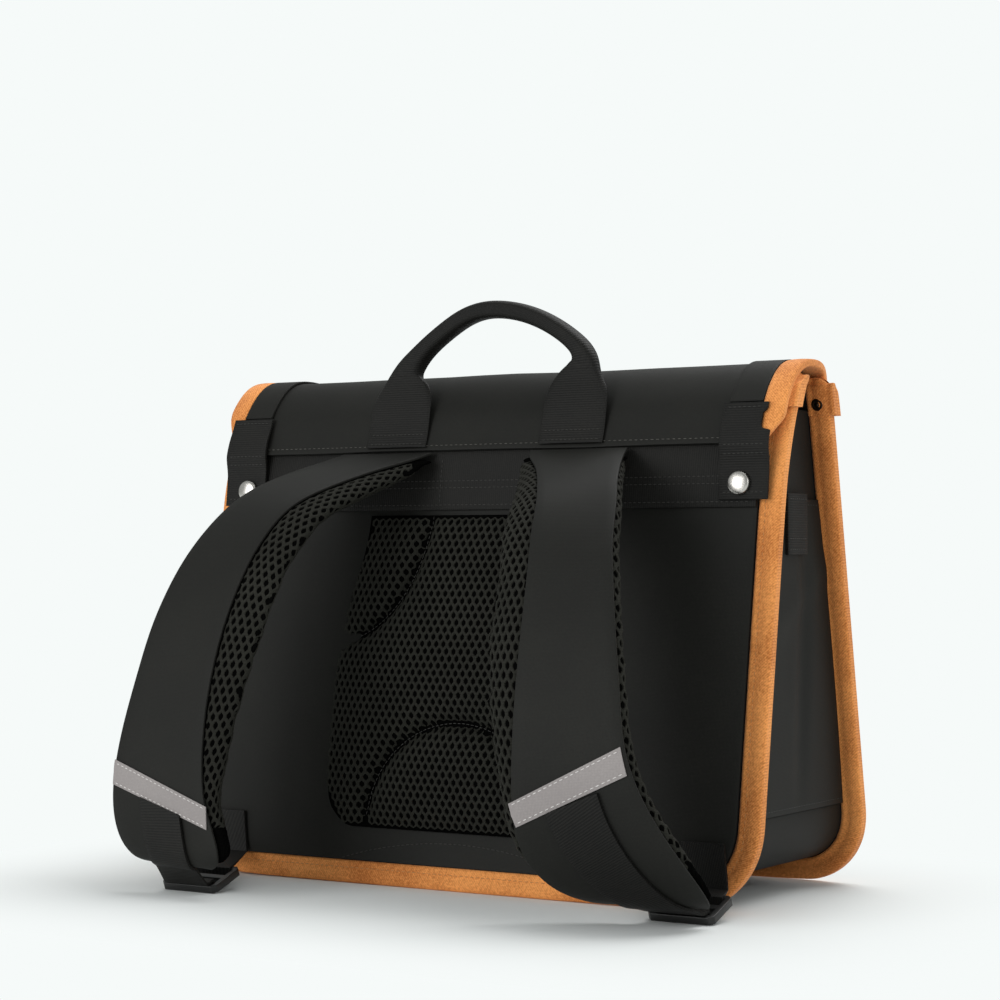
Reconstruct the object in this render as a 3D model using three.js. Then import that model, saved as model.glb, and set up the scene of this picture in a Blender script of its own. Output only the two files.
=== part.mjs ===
// A school ransel: a stiff-sided satchel worn on the back. It stands on the bound edges of its two panels.
// Millimetres. +X is the wearer's right, -Y is the side that rests on the wearer's back, +Z is up.
import * as THREE from 'three';

// Body
const WIDTH = 380; // across the bound edges of the panels
const BASE_DEPTH = 151; // between the outer faces of the panels at the floor
const PANEL_TOP = 286;
const BACK_LEAN = 0.145; // inward, for each millimetre of height
const FRONT_LEAN = 0.195;
const BACK_CURL = 13; // how much further the back panel's top edge leans in
const BACK_CURL_START = 215;
const FRONT_CURL = 2;
const FRONT_CURL_START = 262;
const CORNER_RADIUS = 43;
const PANEL_THICKNESS = 3;
const FIT_GAP = 0.3; // left between pieces that touch

// Bindings and corner caps
const BINDING_DEPTH = 13;
const TAPE = 1.2;
const CAP_TAPE = 1.5;
const CAP_HEIGHT = 20;
const RIVET_RADIUS = 3.6;
const RIVET_RISE = 1.2;

// Gusset and side pieces
const GUSSET_THICKNESS = 2;
const GUSSET_DROP = 14; // from the panels' top edge down to the side gussets'
const BASE_SEAM = 48; // where the base turned up at the sides meets the side gussets
const POCKET_THICKNESS = 1.6;
const POCKET_TOP = 222;
const SIDE_TAB_WIDTH = 25;
const SIDE_TAB_HEIGHT = 34;
const SIDE_TAB_DROP = 3; // from the pocket's top edge down to the tab's bottom end, beyond its height
const SIDE_TAB_THICKNESS = 2.4;

// Back padding
const COVER_RIM = 2.5;
const COVER_CROWN = 8; // of the padded strips beside the mesh pad
const COVER_DROP = 6; // from the panels' top edge down to the cover's
const COVER_YOKE = 5.6; // thickness behind the flap's seam
const PAD_HALF_WIDTH = 94;
const PAD_BOTTOM = 33;
const PAD_DROP = 3; // from the yoke band down to the mesh pad
const PAD_CROWN = 11;
const PAD_RIM = 1.6;
const GROOVE_DEPTH = 6;
const GROOVE_WIDTH = 11;
const LUMBAR_RADIUS = 62;
const PAD_FOOT_ROUND = 22; // height over which the mesh pad's foot widens
const PAD_SHOULDER = 120; // height above which the mesh pad narrows

// Webbing
const WEBBING = 1.6;
const YOKE_WIDTH = 45;
const YOKE_LAP = 10; // of the yoke band, up behind the flap from its seam

// Flap
const FLAP_THICKNESS = 1.6;
const FLAP_RISE = 12; // of the flap's crest above the panels' top edge
const FLAP_LAP = 34; // from the panels' top edge down to the flap's seam at the back
const FLAP_HEM = 10; // straight run of the flap above its seam
const FLAP_FRONT_DROP = 11; // from the panels' top edge down to where the flap's front runs straight
const FLAP_BOTTOM = 82;
const FLAP_CORNER = 34;
const FLAP_FRONT_WIDTH = 366;
const FLAP_FRONT_STANDOFF = 6.2; // outer face of the flap from the front panel
const FLAP_EDGE_WIDTH = 20; // strip of doubled cloth beside the binding, over the crest
const FLAP_EDGE_THICKNESS = 1.2;

// Corner tabs with snaps
const TAB_WIDTH = 34;
const TAB_INSET = 6; // from the panels' edge in to a tab's outer edge
const TAB_FALL = 24; // from the flap's crest down to a tab's upper end
const TAB_DROP = 31; // down from the flap's seam
const SNAP_RADIUS = 6.5;
const SNAP_RISE = 3;
const SNAP_DROP = 22; // from the flap's seam down to a snap's middle

// Handle
const HANDLE_SPAN = 119; // between the middles of its two ends
const HANDLE_WEBBING = 42;
const HANDLE_ROLL = 14; // depth of the rolled grip
const HANDLE_RISE = 43; // above the flap's crest
const HANDLE_LIFT = 2; // of its sewn ends above the flap's seam
const HANDLE_OUT = 43; // the grip's distance in from the foot of the back panel

// Shoulder straps
const STRAP_REACH = 100; // how far the straps stand out from the foot of the back panel
const STRAP_TUCK = 1; // from the flap's seam down to the straps' upper ends
const STRAP_THICKNESS = 13;
const STRAP_BORDER = 24; // mesh border beside the fabric facing
const STRAP_FLANK = 2; // foam standing out past the facing's other edge
const LEFT_SWING_IN = 38; // how far the left strap's lower end lies from the right one's mirror image
const LEFT_SWING_OUT = 42;
const LEFT_SWING_UP = 7;
const FACING_THICKNESS = 1.4;
const REFLECTOR_WIDTH = 15;
const REFLECTOR_THICKNESS = 0.8;
const SWING_AT = 0.6; // share of the way down the strap below which its end swings away
const REFLECTOR_AT_LEFT = 0.72; // share of the way down the strap
const REFLECTOR_AT_RIGHT = 0.664;
const STRAP_WEBBING_WIDTH = 31;

// Adjusters and anchors
const ADJUSTER_WIDTH = 39;
const ADJUSTER_LENGTH = 26;
const ADJUSTER_THICKNESS = 4.5;
const ADJUSTER_BAR = 4;
const ADJUSTER_CHAMFER = 2.5;
const ADJUSTER_TILT = 20; // degrees
const ADJUSTER_INSET = 25; // from the panels' edge in to an adjuster's middle
const ADJUSTER_OUT = 27; // from the foot of the back panel
const ANCHOR_TOP = 38;
const ANCHOR_INSET = 30; // from the panels' edge in to an anchor's middle
const ANCHOR_STEP = 5; // height over which it comes down from the bound edge to the cover
const ANCHOR_TAPER = 0.06; // of its width, at each of the three folds above the bound edge

// Closures on the hidden front
const CLOSURE_SPACING = 200;
const CLOSURE_WEBBING = 30;
const CLOSURE_TOP = 168;
const CLOSURE_DROP = 5; // from the flap's edge down to the webbing's end
const CLASP_WIDTH = 36;
const CLASP_HEIGHT = 24;
const CLASP_THICKNESS = 9;
const CLASP_ROUND = 2;

const HALF_WIDTH = WIDTH / 2;
const GUSSET_TOP = PANEL_TOP - GUSSET_DROP;
const COVER_TOP = PANEL_TOP - COVER_DROP;
const FLAP_SEAM = PANEL_TOP - FLAP_LAP;
const FLAP_SHOULDER_BACK = FLAP_SEAM + FLAP_HEM;
const FLAP_SHOULDER_FRONT = PANEL_TOP - FLAP_FRONT_DROP;
const FLAP_CREST = PANEL_TOP + FLAP_RISE;
const YOKE_TOP = FLAP_SEAM + YOKE_LAP;
const YOKE_BOTTOM = YOKE_TOP - YOKE_WIDTH;
const PAD_TOP = YOKE_BOTTOM - PAD_DROP;
const HANDLE_TOP = FLAP_CREST + HANDLE_RISE;
const HANDLE_BOTTOM = FLAP_SEAM + HANDLE_LIFT;
const STRAP_ROOT = FLAP_SEAM - STRAP_TUCK;
const TAB_TOP = FLAP_CREST - TAB_FALL;
const TAB_EDGE = HALF_WIDTH - TAB_INSET;
const TAB_BOTTOM = FLAP_SEAM - TAB_DROP;
const SNAP_HEIGHT = FLAP_SEAM - SNAP_DROP;
const ADJUSTER_SIDE = HALF_WIDTH - ADJUSTER_INSET;
const ANCHOR_SIDE = HALF_WIDTH - ANCHOR_INSET;
const CHANNEL = FIT_GAP + TAPE; // how far a binding stands out from the sheet it holds
const SIDES = [['left', -1], ['right', 1]];

const fabric = new THREE.MeshStandardMaterial({ color: 0x1f201e, roughness: 0.85 });
const mesh = new THREE.MeshStandardMaterial({ color: 0x171815, roughness: 0.95 });
const webbing = new THREE.MeshStandardMaterial({ color: 0x161713, roughness: 0.8 });
const tan = new THREE.MeshStandardMaterial({ color: 0xbf7a3f, roughness: 0.8 });
const reflector = new THREE.MeshStandardMaterial({ color: 0x98928f, roughness: 0.45 });
const plastic = new THREE.MeshStandardMaterial({ color: 0x0d0e0c, roughness: 0.4 });
const steel = new THREE.MeshStandardMaterial({ color: 0xc9c9c9, roughness: 0.2, metalness: 1 });
const darkMetal = new THREE.MeshStandardMaterial({ color: 0x2b221b, roughness: 0.35, metalness: 1 });

// Shared shape functions

const clamp01 = (value) => Math.min(1, Math.max(0, value));
const smooth = (value) => clamp01(value) ** 2 * (3 - 2 * clamp01(value));
const mix = (a, b, share) => a + (b - a) * share;
const steps = (count) => Array.from({ length: count + 1 }, (_, i) => i / count);
const point = (x, y, z) => new THREE.Vector3(x, y, z);
const merged = (...lists) => [...new Set(lists.flat())].sort((a, b) => a - b);

// Builds a geometry from corners and triangles, and turns it the right way out.
function closedGeometry(points, triangles) {
  let volume = 0;
  const normal = new THREE.Vector3();
  for (const [a, b, c] of triangles) volume += points[a].dot(normal.crossVectors(points[b], points[c]));
  const facing = volume < 0 ? triangles.map(([a, b, c]) => [a, c, b]) : triangles;
  const geometry = new THREE.BufferGeometry().setFromPoints(points);
  geometry.setIndex(facing.flat());
  geometry.computeVertexNormals();
  return geometry;
}

// A closed solid through rings of equally many points. Each end is capped by triangles of its flat outline.
function loft(rings, startOutline, endOutline = startOutline) {
  const count = rings[0].length;
  const triangles = [];
  for (let r = 0; r + 1 < rings.length; r++) {
    for (let i = 0; i < count; i++) {
      const a = r * count + i;
      const b = r * count + ((i + 1) % count);
      triangles.push([a, b, a + count], [b, b + count, a + count]);
    }
  }
  const clockwise = THREE.ShapeUtils.area(startOutline) < 0;
  const cap = (outline, offset, flip) => {
    for (const [a, b, c] of THREE.ShapeUtils.triangulateShape(outline, [])) {
      triangles.push(flip ? [offset + a, offset + c, offset + b] : [offset + a, offset + b, offset + c]);
    }
  };
  cap(startOutline, 0, !clockwise);
  cap(endOutline, (rings.length - 1) * count, clockwise);
  return closedGeometry(rings.flat(), triangles);
}

// A closed solid between an outer and an inner surface, each given at every pair of a column and a row.
function slab(columns, rows, outer, inner) {
  const across = columns.length;
  const along = rows.length;
  const points = [];
  for (const surface of [outer, inner]) {
    for (const row of rows) for (const column of columns) points.push(surface(column, row));
  }
  const at = (side, c, r) => side * across * along + r * across + c;
  const triangles = [];
  const quad = (a, b, c, d) => triangles.push([a, b, c], [a, c, d]);
  for (let r = 0; r + 1 < along; r++) {
    for (let c = 0; c + 1 < across; c++) {
      quad(at(0, c, r), at(0, c + 1, r), at(0, c + 1, r + 1), at(0, c, r + 1));
      quad(at(1, c, r), at(1, c, r + 1), at(1, c + 1, r + 1), at(1, c + 1, r));
    }
    quad(at(0, 0, r), at(0, 0, r + 1), at(1, 0, r + 1), at(1, 0, r));
    quad(at(0, across - 1, r), at(1, across - 1, r), at(1, across - 1, r + 1), at(0, across - 1, r + 1));
  }
  for (let c = 0; c + 1 < across; c++) {
    quad(at(0, c, 0), at(1, c, 0), at(1, c + 1, 0), at(0, c + 1, 0));
    quad(at(0, c, along - 1), at(0, c + 1, along - 1), at(1, c + 1, along - 1), at(1, c, along - 1));
  }
  return closedGeometry(points, triangles);
}

// Piece by piece straight interpolation in a table of rows, each a list of numbers with its key first.
function lookUp(rows, key) {
  let next = rows.findIndex((row) => row[0] >= key);
  if (next < 0) next = rows.length - 1;
  next = Math.max(1, next);
  const [low, high] = [rows[next - 1], rows[next]];
  const share = (key - low[0]) / (high[0] - low[0]);
  return low.slice(1).map((value, i) => mix(value, high[i + 1], share));
}

// Where the panels stand: straight up to where they curl in, then bent in a few steps

function faceLine(foot, lean, curl, start, count) {
  const bends = steps(count).map((share) => {
    const z = mix(start, PANEL_TOP, share);
    return [z, foot + lean * z + curl * share ** 2];
  });
  return [[0, foot], ...bends];
}

const backLine = faceLine(0, BACK_LEAN, BACK_CURL, BACK_CURL_START, 4);
const frontLine = faceLine(BASE_DEPTH, -FRONT_LEAN, -FRONT_CURL, FRONT_CURL_START, 2);
const backFace = (z) => lookUp(backLine, z)[0];
const frontFace = (z) => lookUp(frontLine, z)[0];

// Each bound sheet has a straight foot and two round corners. Its place is a function of x, height and depth.
const cornerAngles = steps(6).map((share) => (1 - share) * 90);
const lineHeights = (line) => line.slice(1).map(([z]) => z);

const backPanel = {
  place: (x, z, depth) => point(x, backFace(z) + depth, z),
  half: () => HALF_WIDTH,
  corner: CORNER_RADIUS,
  heights: [BASE_SEAM, ...lineHeights(backLine)],
  thickness: PANEL_THICKNESS,
};

const frontPanel = {
  place: (x, z, depth) => point(x, frontFace(z) - depth, z),
  half: () => HALF_WIDTH,
  corner: CORNER_RADIUS,
  heights: [BASE_SEAM, ...lineHeights(frontLine)],
  thickness: PANEL_THICKNESS,
};

// Flap: its outer face as a line of points from the front edge over the crest to the seam at the back

// Height of the padded cover above the back panel.
function coverHeight(x, z) {
  const side = clamp01((Math.abs(x) - PAD_HALF_WIDTH) / (HALF_WIDTH - BINDING_DEPTH - PAD_HALF_WIDTH));
  const up = clamp01((z - BINDING_DEPTH) / (YOKE_BOTTOM - BINDING_DEPTH));
  const crown = COVER_CROWN * Math.sin(Math.PI * side) ** 0.8 * Math.sin(Math.PI * up) ** 0.5;
  const yoke = (COVER_YOKE - COVER_RIM) * smooth((z - YOKE_BOTTOM) / (FLAP_SEAM - YOKE_BOTTOM));
  return COVER_RIM + crown + yoke;
}

const yokeHeights = merged(
  [YOKE_BOTTOM, mix(YOKE_BOTTOM, FLAP_SEAM, 0.33), mix(YOKE_BOTTOM, FLAP_SEAM, 0.67), FLAP_SEAM, YOKE_TOP],
  lineHeights(backLine).filter((z) => z > YOKE_BOTTOM && z < YOKE_TOP),
);
const yokeOuter = (z) => backFace(z) - coverHeight(0, z) - FIT_GAP - WEBBING;
const flapSeamFace = (z) => yokeOuter(z) - FIT_GAP - CHANNEL - FLAP_THICKNESS;

// Shares of the crest: from the back shoulder to the front one, and up from the back shoulder to the top.
const crestShares = [
  { along: 1, rise: 0.36 },
  { along: 0.97, rise: 0.61 },
  { along: 0.935, rise: 0.78 },
  { along: 0.85, rise: 0.92 },
  { along: 0.73, rise: 0.985 },
  { along: 0.58, rise: 1 },
  { along: 0.455, rise: 0.99 },
  { along: 0.34, rise: 0.91 },
  { along: 0.245, rise: 0.785 },
  { along: 0.145, rise: 0.585 },
  { along: 0.055, rise: 0.335 },
];

const flapLine = (() => {
  const frontShoulder = frontFace(FLAP_SHOULDER_FRONT) + FLAP_FRONT_STANDOFF + CAP_TAPE;
  const backShoulder = flapSeamFace(FLAP_SHOULDER_BACK);
  const crest = crestShares.map(({ along, rise }) => [
    mix(backShoulder, frontShoulder, along),
    mix(FLAP_SHOULDER_BACK, FLAP_CREST, rise),
  ]);
  const frontHeights = [FLAP_BOTTOM, mix(FLAP_BOTTOM, FLAP_SHOULDER_FRONT, 0.5)];
  const front = frontHeights.map((z) => [frontFace(z) + FLAP_FRONT_STANDOFF, z]);
  return [...front, ...crest, [backShoulder, FLAP_SHOULDER_BACK], [flapSeamFace(FLAP_SEAM), FLAP_SEAM]];
})();

// The flap's line with its length so far and its outward direction at each point.
const flapStations = flapLine.map(([y, z], i) => {
  const [y0, z0] = flapLine[Math.max(0, i - 1)];
  const [y1, z1] = flapLine[Math.min(flapLine.length - 1, i + 1)];
  const length = Math.hypot(y1 - y0, z1 - z0);
  const run = flapLine.slice(0, i).reduce((sum, [ya, za], k) => {
    const [yb, zb] = flapLine[k + 1];
    return sum + Math.hypot(yb - ya, zb - za);
  }, 0);
  return [run, y, z, (z1 - z0) / length, -(y1 - y0) / length];
});
// Distances along the flap of its front shoulder and of its crest.
const NEAR = 0.5;
const flapRunAt = (height) => flapStations.find((row) => row[2] >= height - NEAR)[0];
const flapShoulderRun = flapRunAt(FLAP_SHOULDER_FRONT);
const flapCrestRun = flapRunAt(FLAP_CREST);

const flap = {
  place: (x, run, depth) => {
    const [y, z, outY, outZ] = lookUp(flapStations, run);
    return point(x, y - outY * depth, z - outZ * depth);
  },
  half: (run) => mix(
    FLAP_FRONT_WIDTH / 2,
    HALF_WIDTH,
    smooth((run - flapShoulderRun) / (flapCrestRun - flapShoulderRun)),
  ),
  corner: FLAP_CORNER,
  heights: flapStations.map(([run]) => run).filter((run) => run > FLAP_CORNER),
  thickness: FLAP_THICKNESS,
};

// Rows of a bound sheet from its foot up. Each gives half the width and the height at an inset from the edge.
function edgeRows({ half, corner, heights }, from = -Infinity, to = Infinity) {
  const rows = cornerAngles.map((angle) => (inset) => {
    const radians = THREE.MathUtils.degToRad(angle);
    return [
      half(corner) - corner + (corner - inset) * Math.cos(radians),
      corner - (corner - inset) * Math.sin(radians),
    ];
  });
  for (const height of heights) rows.push((inset) => [half(height) - inset, height]);
  const kept = rows.filter((row) => row(0)[1] > from && row(0)[1] < to);
  if (from > -Infinity) kept.unshift((inset) => [half(from) - inset, from]);
  if (to < Infinity) kept.push((inset) => [half(to) - inset, to]);
  return kept;
}

// The sheet itself, reaching into its binding.
function boundSheet(sheet, columns = 2) {
  const inset = TAPE + FIT_GAP;
  const face = (depth) => (column, row) => {
    const [half, height] = row(inset);
    return sheet.place(half * (2 * column - 1), height, depth);
  };
  return slab(steps(columns), edgeRows(sheet), face(0), face(sheet.thickness));
}

// A folded tape round a sheet's edge. Its section holds insets from the edge and depths from the outer face.
function edgeChannel(sheet, rows, gap, tape, reach, bothSides) {
  const low = -gap - tape;
  const high = sheet.thickness + gap + tape;
  const round = tape / 2;
  const lip = gap < CHANNEL ? 0 : -gap + FIT_GAP - tape;
  const section = [
    [lip, low + round], [lip + round, low], [reach, low], [reach, low + tape], [lip + tape, low + tape],
    [lip + tape, high - tape], [reach, high - tape], [reach, high], [lip + round, high], [lip, high - round],
  ];
  const ring = (row, side) => section.map(([inset, depth]) => {
    const [half, height] = row(inset);
    return sheet.place(side * half, height, depth);
  });
  const path = bothSides
    ? [...rows.toReversed().map((row) => ring(row, -1)), ...rows.map((row) => ring(row, 1))]
    : rows.map((row) => ring(row, 1));
  return loft(path, section.map(([inset, depth]) => new THREE.Vector2(inset, depth)));
}

const binding = (sheet) => edgeChannel(sheet, edgeRows(sheet), FIT_GAP, TAPE, BINDING_DEPTH, true);

// A cap over the top end of a binding.
function cornerCap(sheet) {
  const rows = edgeRows(sheet, PANEL_TOP - CAP_HEIGHT);
  return edgeChannel(sheet, rows, CHANNEL + FIT_GAP, CAP_TAPE, BINDING_DEPTH, false);
}

// Walls between the panels, following their outline at an inset
function gussetWall(rows, bothSides) {
  const outer = BINDING_DEPTH + FIT_GAP;
  const inner = outer + GUSSET_THICKNESS;
  const lap = PANEL_THICKNESS + FIT_GAP;
  const ring = (row, side) => [[outer, 0], [inner, 0], [inner, 1], [outer, 1]].map(([inset, front]) => {
    const [half, z] = row(inset);
    return point(side * half, front ? frontFace(z) - lap : backFace(z) + lap, z);
  });
  const path = bothSides
    ? [...rows.toReversed().map((row) => ring(row, -1)), ...rows.map((row) => ring(row, 1))]
    : rows.map((row) => ring(row, 1));
  const outline = [[0, 0], [1, 0], [1, 1], [0, 1]].map(([x, y]) => new THREE.Vector2(x, y));
  return loft(path, outline);
}

// Heights that both panels share, so that a wall follows the curls of both.
const gussetShape = {
  half: () => HALF_WIDTH,
  corner: CORNER_RADIUS,
  heights: merged(backPanel.heights, frontPanel.heights),
};

function sidePocket() {
  const inset = BINDING_DEPTH - POCKET_THICKNESS;
  const lap = PANEL_THICKNESS + CHANNEL + FIT_GAP;
  const rows = [BASE_SEAM + FIT_GAP, POCKET_TOP];
  const face = (x) => (column, z) => point(x, mix(backFace(z) + lap, frontFace(z) - lap, column), z);
  return slab(steps(1), rows, face(HALF_WIDTH - inset), face(HALF_WIDTH - BINDING_DEPTH));
}

function sideTab() {
  const inner = HALF_WIDTH - BINDING_DEPTH + POCKET_THICKNESS + FIT_GAP;
  const top = POCKET_TOP + SIDE_TAB_DROP;
  const middle = (z) => (backFace(z) + frontFace(z)) / 2;
  const face = (x) => (column, z) => point(x, middle(z) + SIDE_TAB_WIDTH * (column - 0.5), z);
  return slab(steps(1), [top - SIDE_TAB_HEIGHT, top], face(inner + SIDE_TAB_THICKNESS), face(inner));
}

// Back padding

// Flat under the mesh pad, with its columns closer together in the crowned strips on both sides.
function paddedCover() {
  const inset = BINDING_DEPTH + FIT_GAP * 2;
  const crowned = steps(6).map((share) => mix(BASE_SEAM, BACK_CURL_START, share));
  const heights = merged(crowned, backPanel.heights, yokeHeights);
  const columns = steps(7).flatMap((share) => [[-1, 1 - share], [1, share]]).sort((a, b) => a[0] - b[0]);
  const face = (height) => ([side, share], row) => {
    const [half, z] = row(inset);
    const x = side * mix(PAD_HALF_WIDTH, half, share);
    return backPanel.place(x, z, -height(x, z) - FIT_GAP);
  };
  const rows = edgeRows({ ...backPanel, heights }, undefined, COVER_TOP);
  return slab(columns, rows, face((x, z) => coverHeight(x, z) - FIT_GAP), face(() => 0));
}

// Half the width of the mesh pad at a height: round at the foot and narrower at the top.
function padHalfWidth(z) {
  const foot = smooth(mix(0.39, 1, (z - PAD_BOTTOM) / PAD_FOOT_ROUND));
  const head = smooth((z - PAD_SHOULDER) / (PAD_TOP - PAD_SHOULDER));
  return PAD_HALF_WIDTH * (0.72 + 0.28 * foot) * (1 - 0.2 * head);
}

// Distance from the nearest sewn groove: the lumbar arc and the two upper arcs.
function grooveDistance(x, z) {
  const lumbar = Math.abs(Math.hypot(x, z - PAD_BOTTOM) - LUMBAR_RADIUS);
  const upper = Math.abs(Math.hypot((Math.abs(x) - PAD_HALF_WIDTH) * 1.2, z - PAD_TOP) - LUMBAR_RADIUS * 1.2);
  return Math.min(lumbar, upper);
}

function padHeight(x, z) {
  const side = Math.abs(x) / padHalfWidth(z);
  const up = (z - PAD_BOTTOM) / (PAD_TOP - PAD_BOTTOM);
  const crown = (1 - side ** 4) * (Math.sin(Math.PI * clamp01(up)) ** 0.45);
  const groove = GROOVE_DEPTH * (1 - smooth(grooveDistance(x, z) / GROOVE_WIDTH));
  return PAD_RIM + Math.max(0, PAD_CROWN * crown - groove * crown);
}

function meshPad() {
  const face = (height) => (column, share) => {
    const z = mix(PAD_BOTTOM, PAD_TOP, share);
    const x = padHalfWidth(z) * (2 * column - 1);
    return backPanel.place(x, z, -coverHeight(x, z) - FIT_GAP - height(x, z));
  };
  return slab(steps(24), steps(22), face(padHeight), face(() => 0));
}

function yokeBand() {
  const half = HALF_WIDTH - BINDING_DEPTH - FIT_GAP * 2;
  const face = (offset) => (column, z) => point(half * (2 * column - 1), yokeOuter(z) + offset, z);
  return slab(steps(1), yokeHeights, face(0), face(WEBBING));
}

// Doubled cloth along each end of the flap's top, beside the binding
function flapEdgeStrip() {
  const onTop = flapStations.filter(([run, , z]) => run >= flapShoulderRun && z >= TAB_TOP);
  const rows = onTop.map(([run]) => run);
  const outer = (run) => flap.half(run) - BINDING_DEPTH - FIT_GAP;
  const face = (depth) => (column, run) => flap.place(outer(run) - FLAP_EDGE_WIDTH * column, run, depth);
  return slab(steps(1), rows, face(-FIT_GAP - FLAP_EDGE_THICKNESS), face(-FIT_GAP));
}

// Corner tabs: webbing from the flap down over its seam to the yoke, held by a snap

const tabFlatTop = SNAP_HEIGHT + SNAP_RADIUS + FIT_GAP; // the tab is straight from its end up to here
const tabOnYoke = (z) => yokeOuter(z) - FIT_GAP * 2 - WEBBING;

const tabPath = (() => {
  const slope = flapStations.filter(([run]) => run > flapCrestRun).map(([, y, z]) => [-z, y]);
  const onFlap = (z) => lookUp(slope, -z)[0] - CHANNEL - FIT_GAP - WEBBING;
  const between = (drop, sink) => {
    const z = mix(FLAP_SEAM, tabFlatTop, drop);
    return [Math.min(mix(onFlap(FLAP_SEAM), tabOnYoke(z), sink), tabOnYoke(z)), z];
  };
  return [
    [onFlap(TAB_TOP), TAB_TOP],
    [onFlap(FLAP_SHOULDER_BACK), FLAP_SHOULDER_BACK],
    [onFlap(FLAP_SEAM), FLAP_SEAM],
    between(0.28, 0.12),
    between(0.72, 0.75),
    [tabOnYoke(tabFlatTop), tabFlatTop],
    [tabOnYoke(TAB_BOTTOM), TAB_BOTTOM],
  ];
})();

function cornerTab() {
  const face = (depth) => (column, [y, z]) => point(TAB_EDGE - TAB_WIDTH * column, y + depth, z);
  return slab(steps(1), tabPath, face(0), face(WEBBING));
}

// A domed cap on a short shank, turned about its own axis.
function stud(radius, rise) {
  const shares = [[0, 0], [1, 0], [1, 0.45], [0.8, 0.85], [0.4, 1], [0, 1]];
  return new THREE.LatheGeometry(shares.map(([r, h]) => new THREE.Vector2(r * radius, h * rise)), 16);
}

// Handle

// The handle from its ends to its top, leaning a little to the right. Columns: shares of the half span on
// the left and the right, of the way out from the flap to the grip's plane, of the height, of the webbing's
// width and of the roll.
const handleShares = [
  { left: 1, right: 1, out: 0, rise: 0, width: 1, roll: 0.14 },
  { left: 1, right: 1, out: 0, rise: 0.09, width: 1, roll: 0.14 },
  { left: 1, right: 1, out: 0.15, rise: 0.215, width: 1, roll: 0.14 },
  { left: 1, right: 1, out: 0.42, rise: 0.33, width: 0.97, roll: 0.2 },
  { left: 1, right: 1, out: 0.72, rise: 0.425, width: 0.82, roll: 0.36 },
  { left: 1.01, right: 1.03, out: 0.88, rise: 0.495, width: 0.54, roll: 0.6 },
  { left: 0.97, right: 1.04, out: 0.96, rise: 0.55, width: 0.4, roll: 0.85 },
  { left: 0.875, right: 1, out: 1, rise: 0.625, width: 0.29, roll: 1 },
  { left: 0.73, right: 0.86, out: 1, rise: 0.71, width: 0.26, roll: 1 },
  { left: 0.52, right: 0.645, out: 1, rise: 0.805, width: 0.26, roll: 1 },
  { left: 0.3, right: 0.35, out: 1, rise: 0.89, width: 0.26, roll: 1 },
  { left: 0.02, right: -0.02, out: 1, rise: 0.93, width: 0.26, roll: 1 },
];

function handle() {
  const lap = FIT_GAP + (HANDLE_ROLL * handleShares[0].roll) / 2;
  const seat = (z) => flapSeamFace(Math.min(z, FLAP_SHOULDER_BACK)) - lap;
  const stations = (side) => handleShares.map((share) => {
    const x = (side * share[side > 0 ? 'right' : 'left'] * HANDLE_SPAN) / 2;
    const z = mix(HANDLE_BOTTOM, HANDLE_TOP, share.rise);
    return {
      centre: point(x, mix(seat(z), HANDLE_OUT, share.out), z),
      width: HANDLE_WEBBING * share.width,
      roll: HANDLE_ROLL * share.roll,
    };
  });
  const path = [...stations(1), ...stations(-1).toReversed().slice(1)];
  const sides = 10;
  const outline = steps(sides).slice(1).map((share) => {
    const angle = share * 2 * Math.PI;
    const flatten = (value) => Math.sign(value) * Math.abs(value) ** 0.6;
    return new THREE.Vector2(flatten(Math.cos(angle)) / 2, flatten(Math.sin(angle)) / 2);
  });
  const rings = path.map(({ centre, width, roll }, i) => {
    const before = path[Math.max(0, i - 1)].centre;
    const after = path[Math.min(path.length - 1, i + 1)].centre;
    const along = after.clone().sub(before).normalize();
    const thick = point(0, 1, 0).addScaledVector(along, -along.y).normalize();
    const wide = along.clone().cross(thick);
    const across = ({ x }) => centre.clone().addScaledVector(wide, x * width);
    return outline.map((corner) => across(corner).addScaledVector(thick, corner.y * roll));
  });
  return loft(rings, outline);
}

// Shoulder straps

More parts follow.
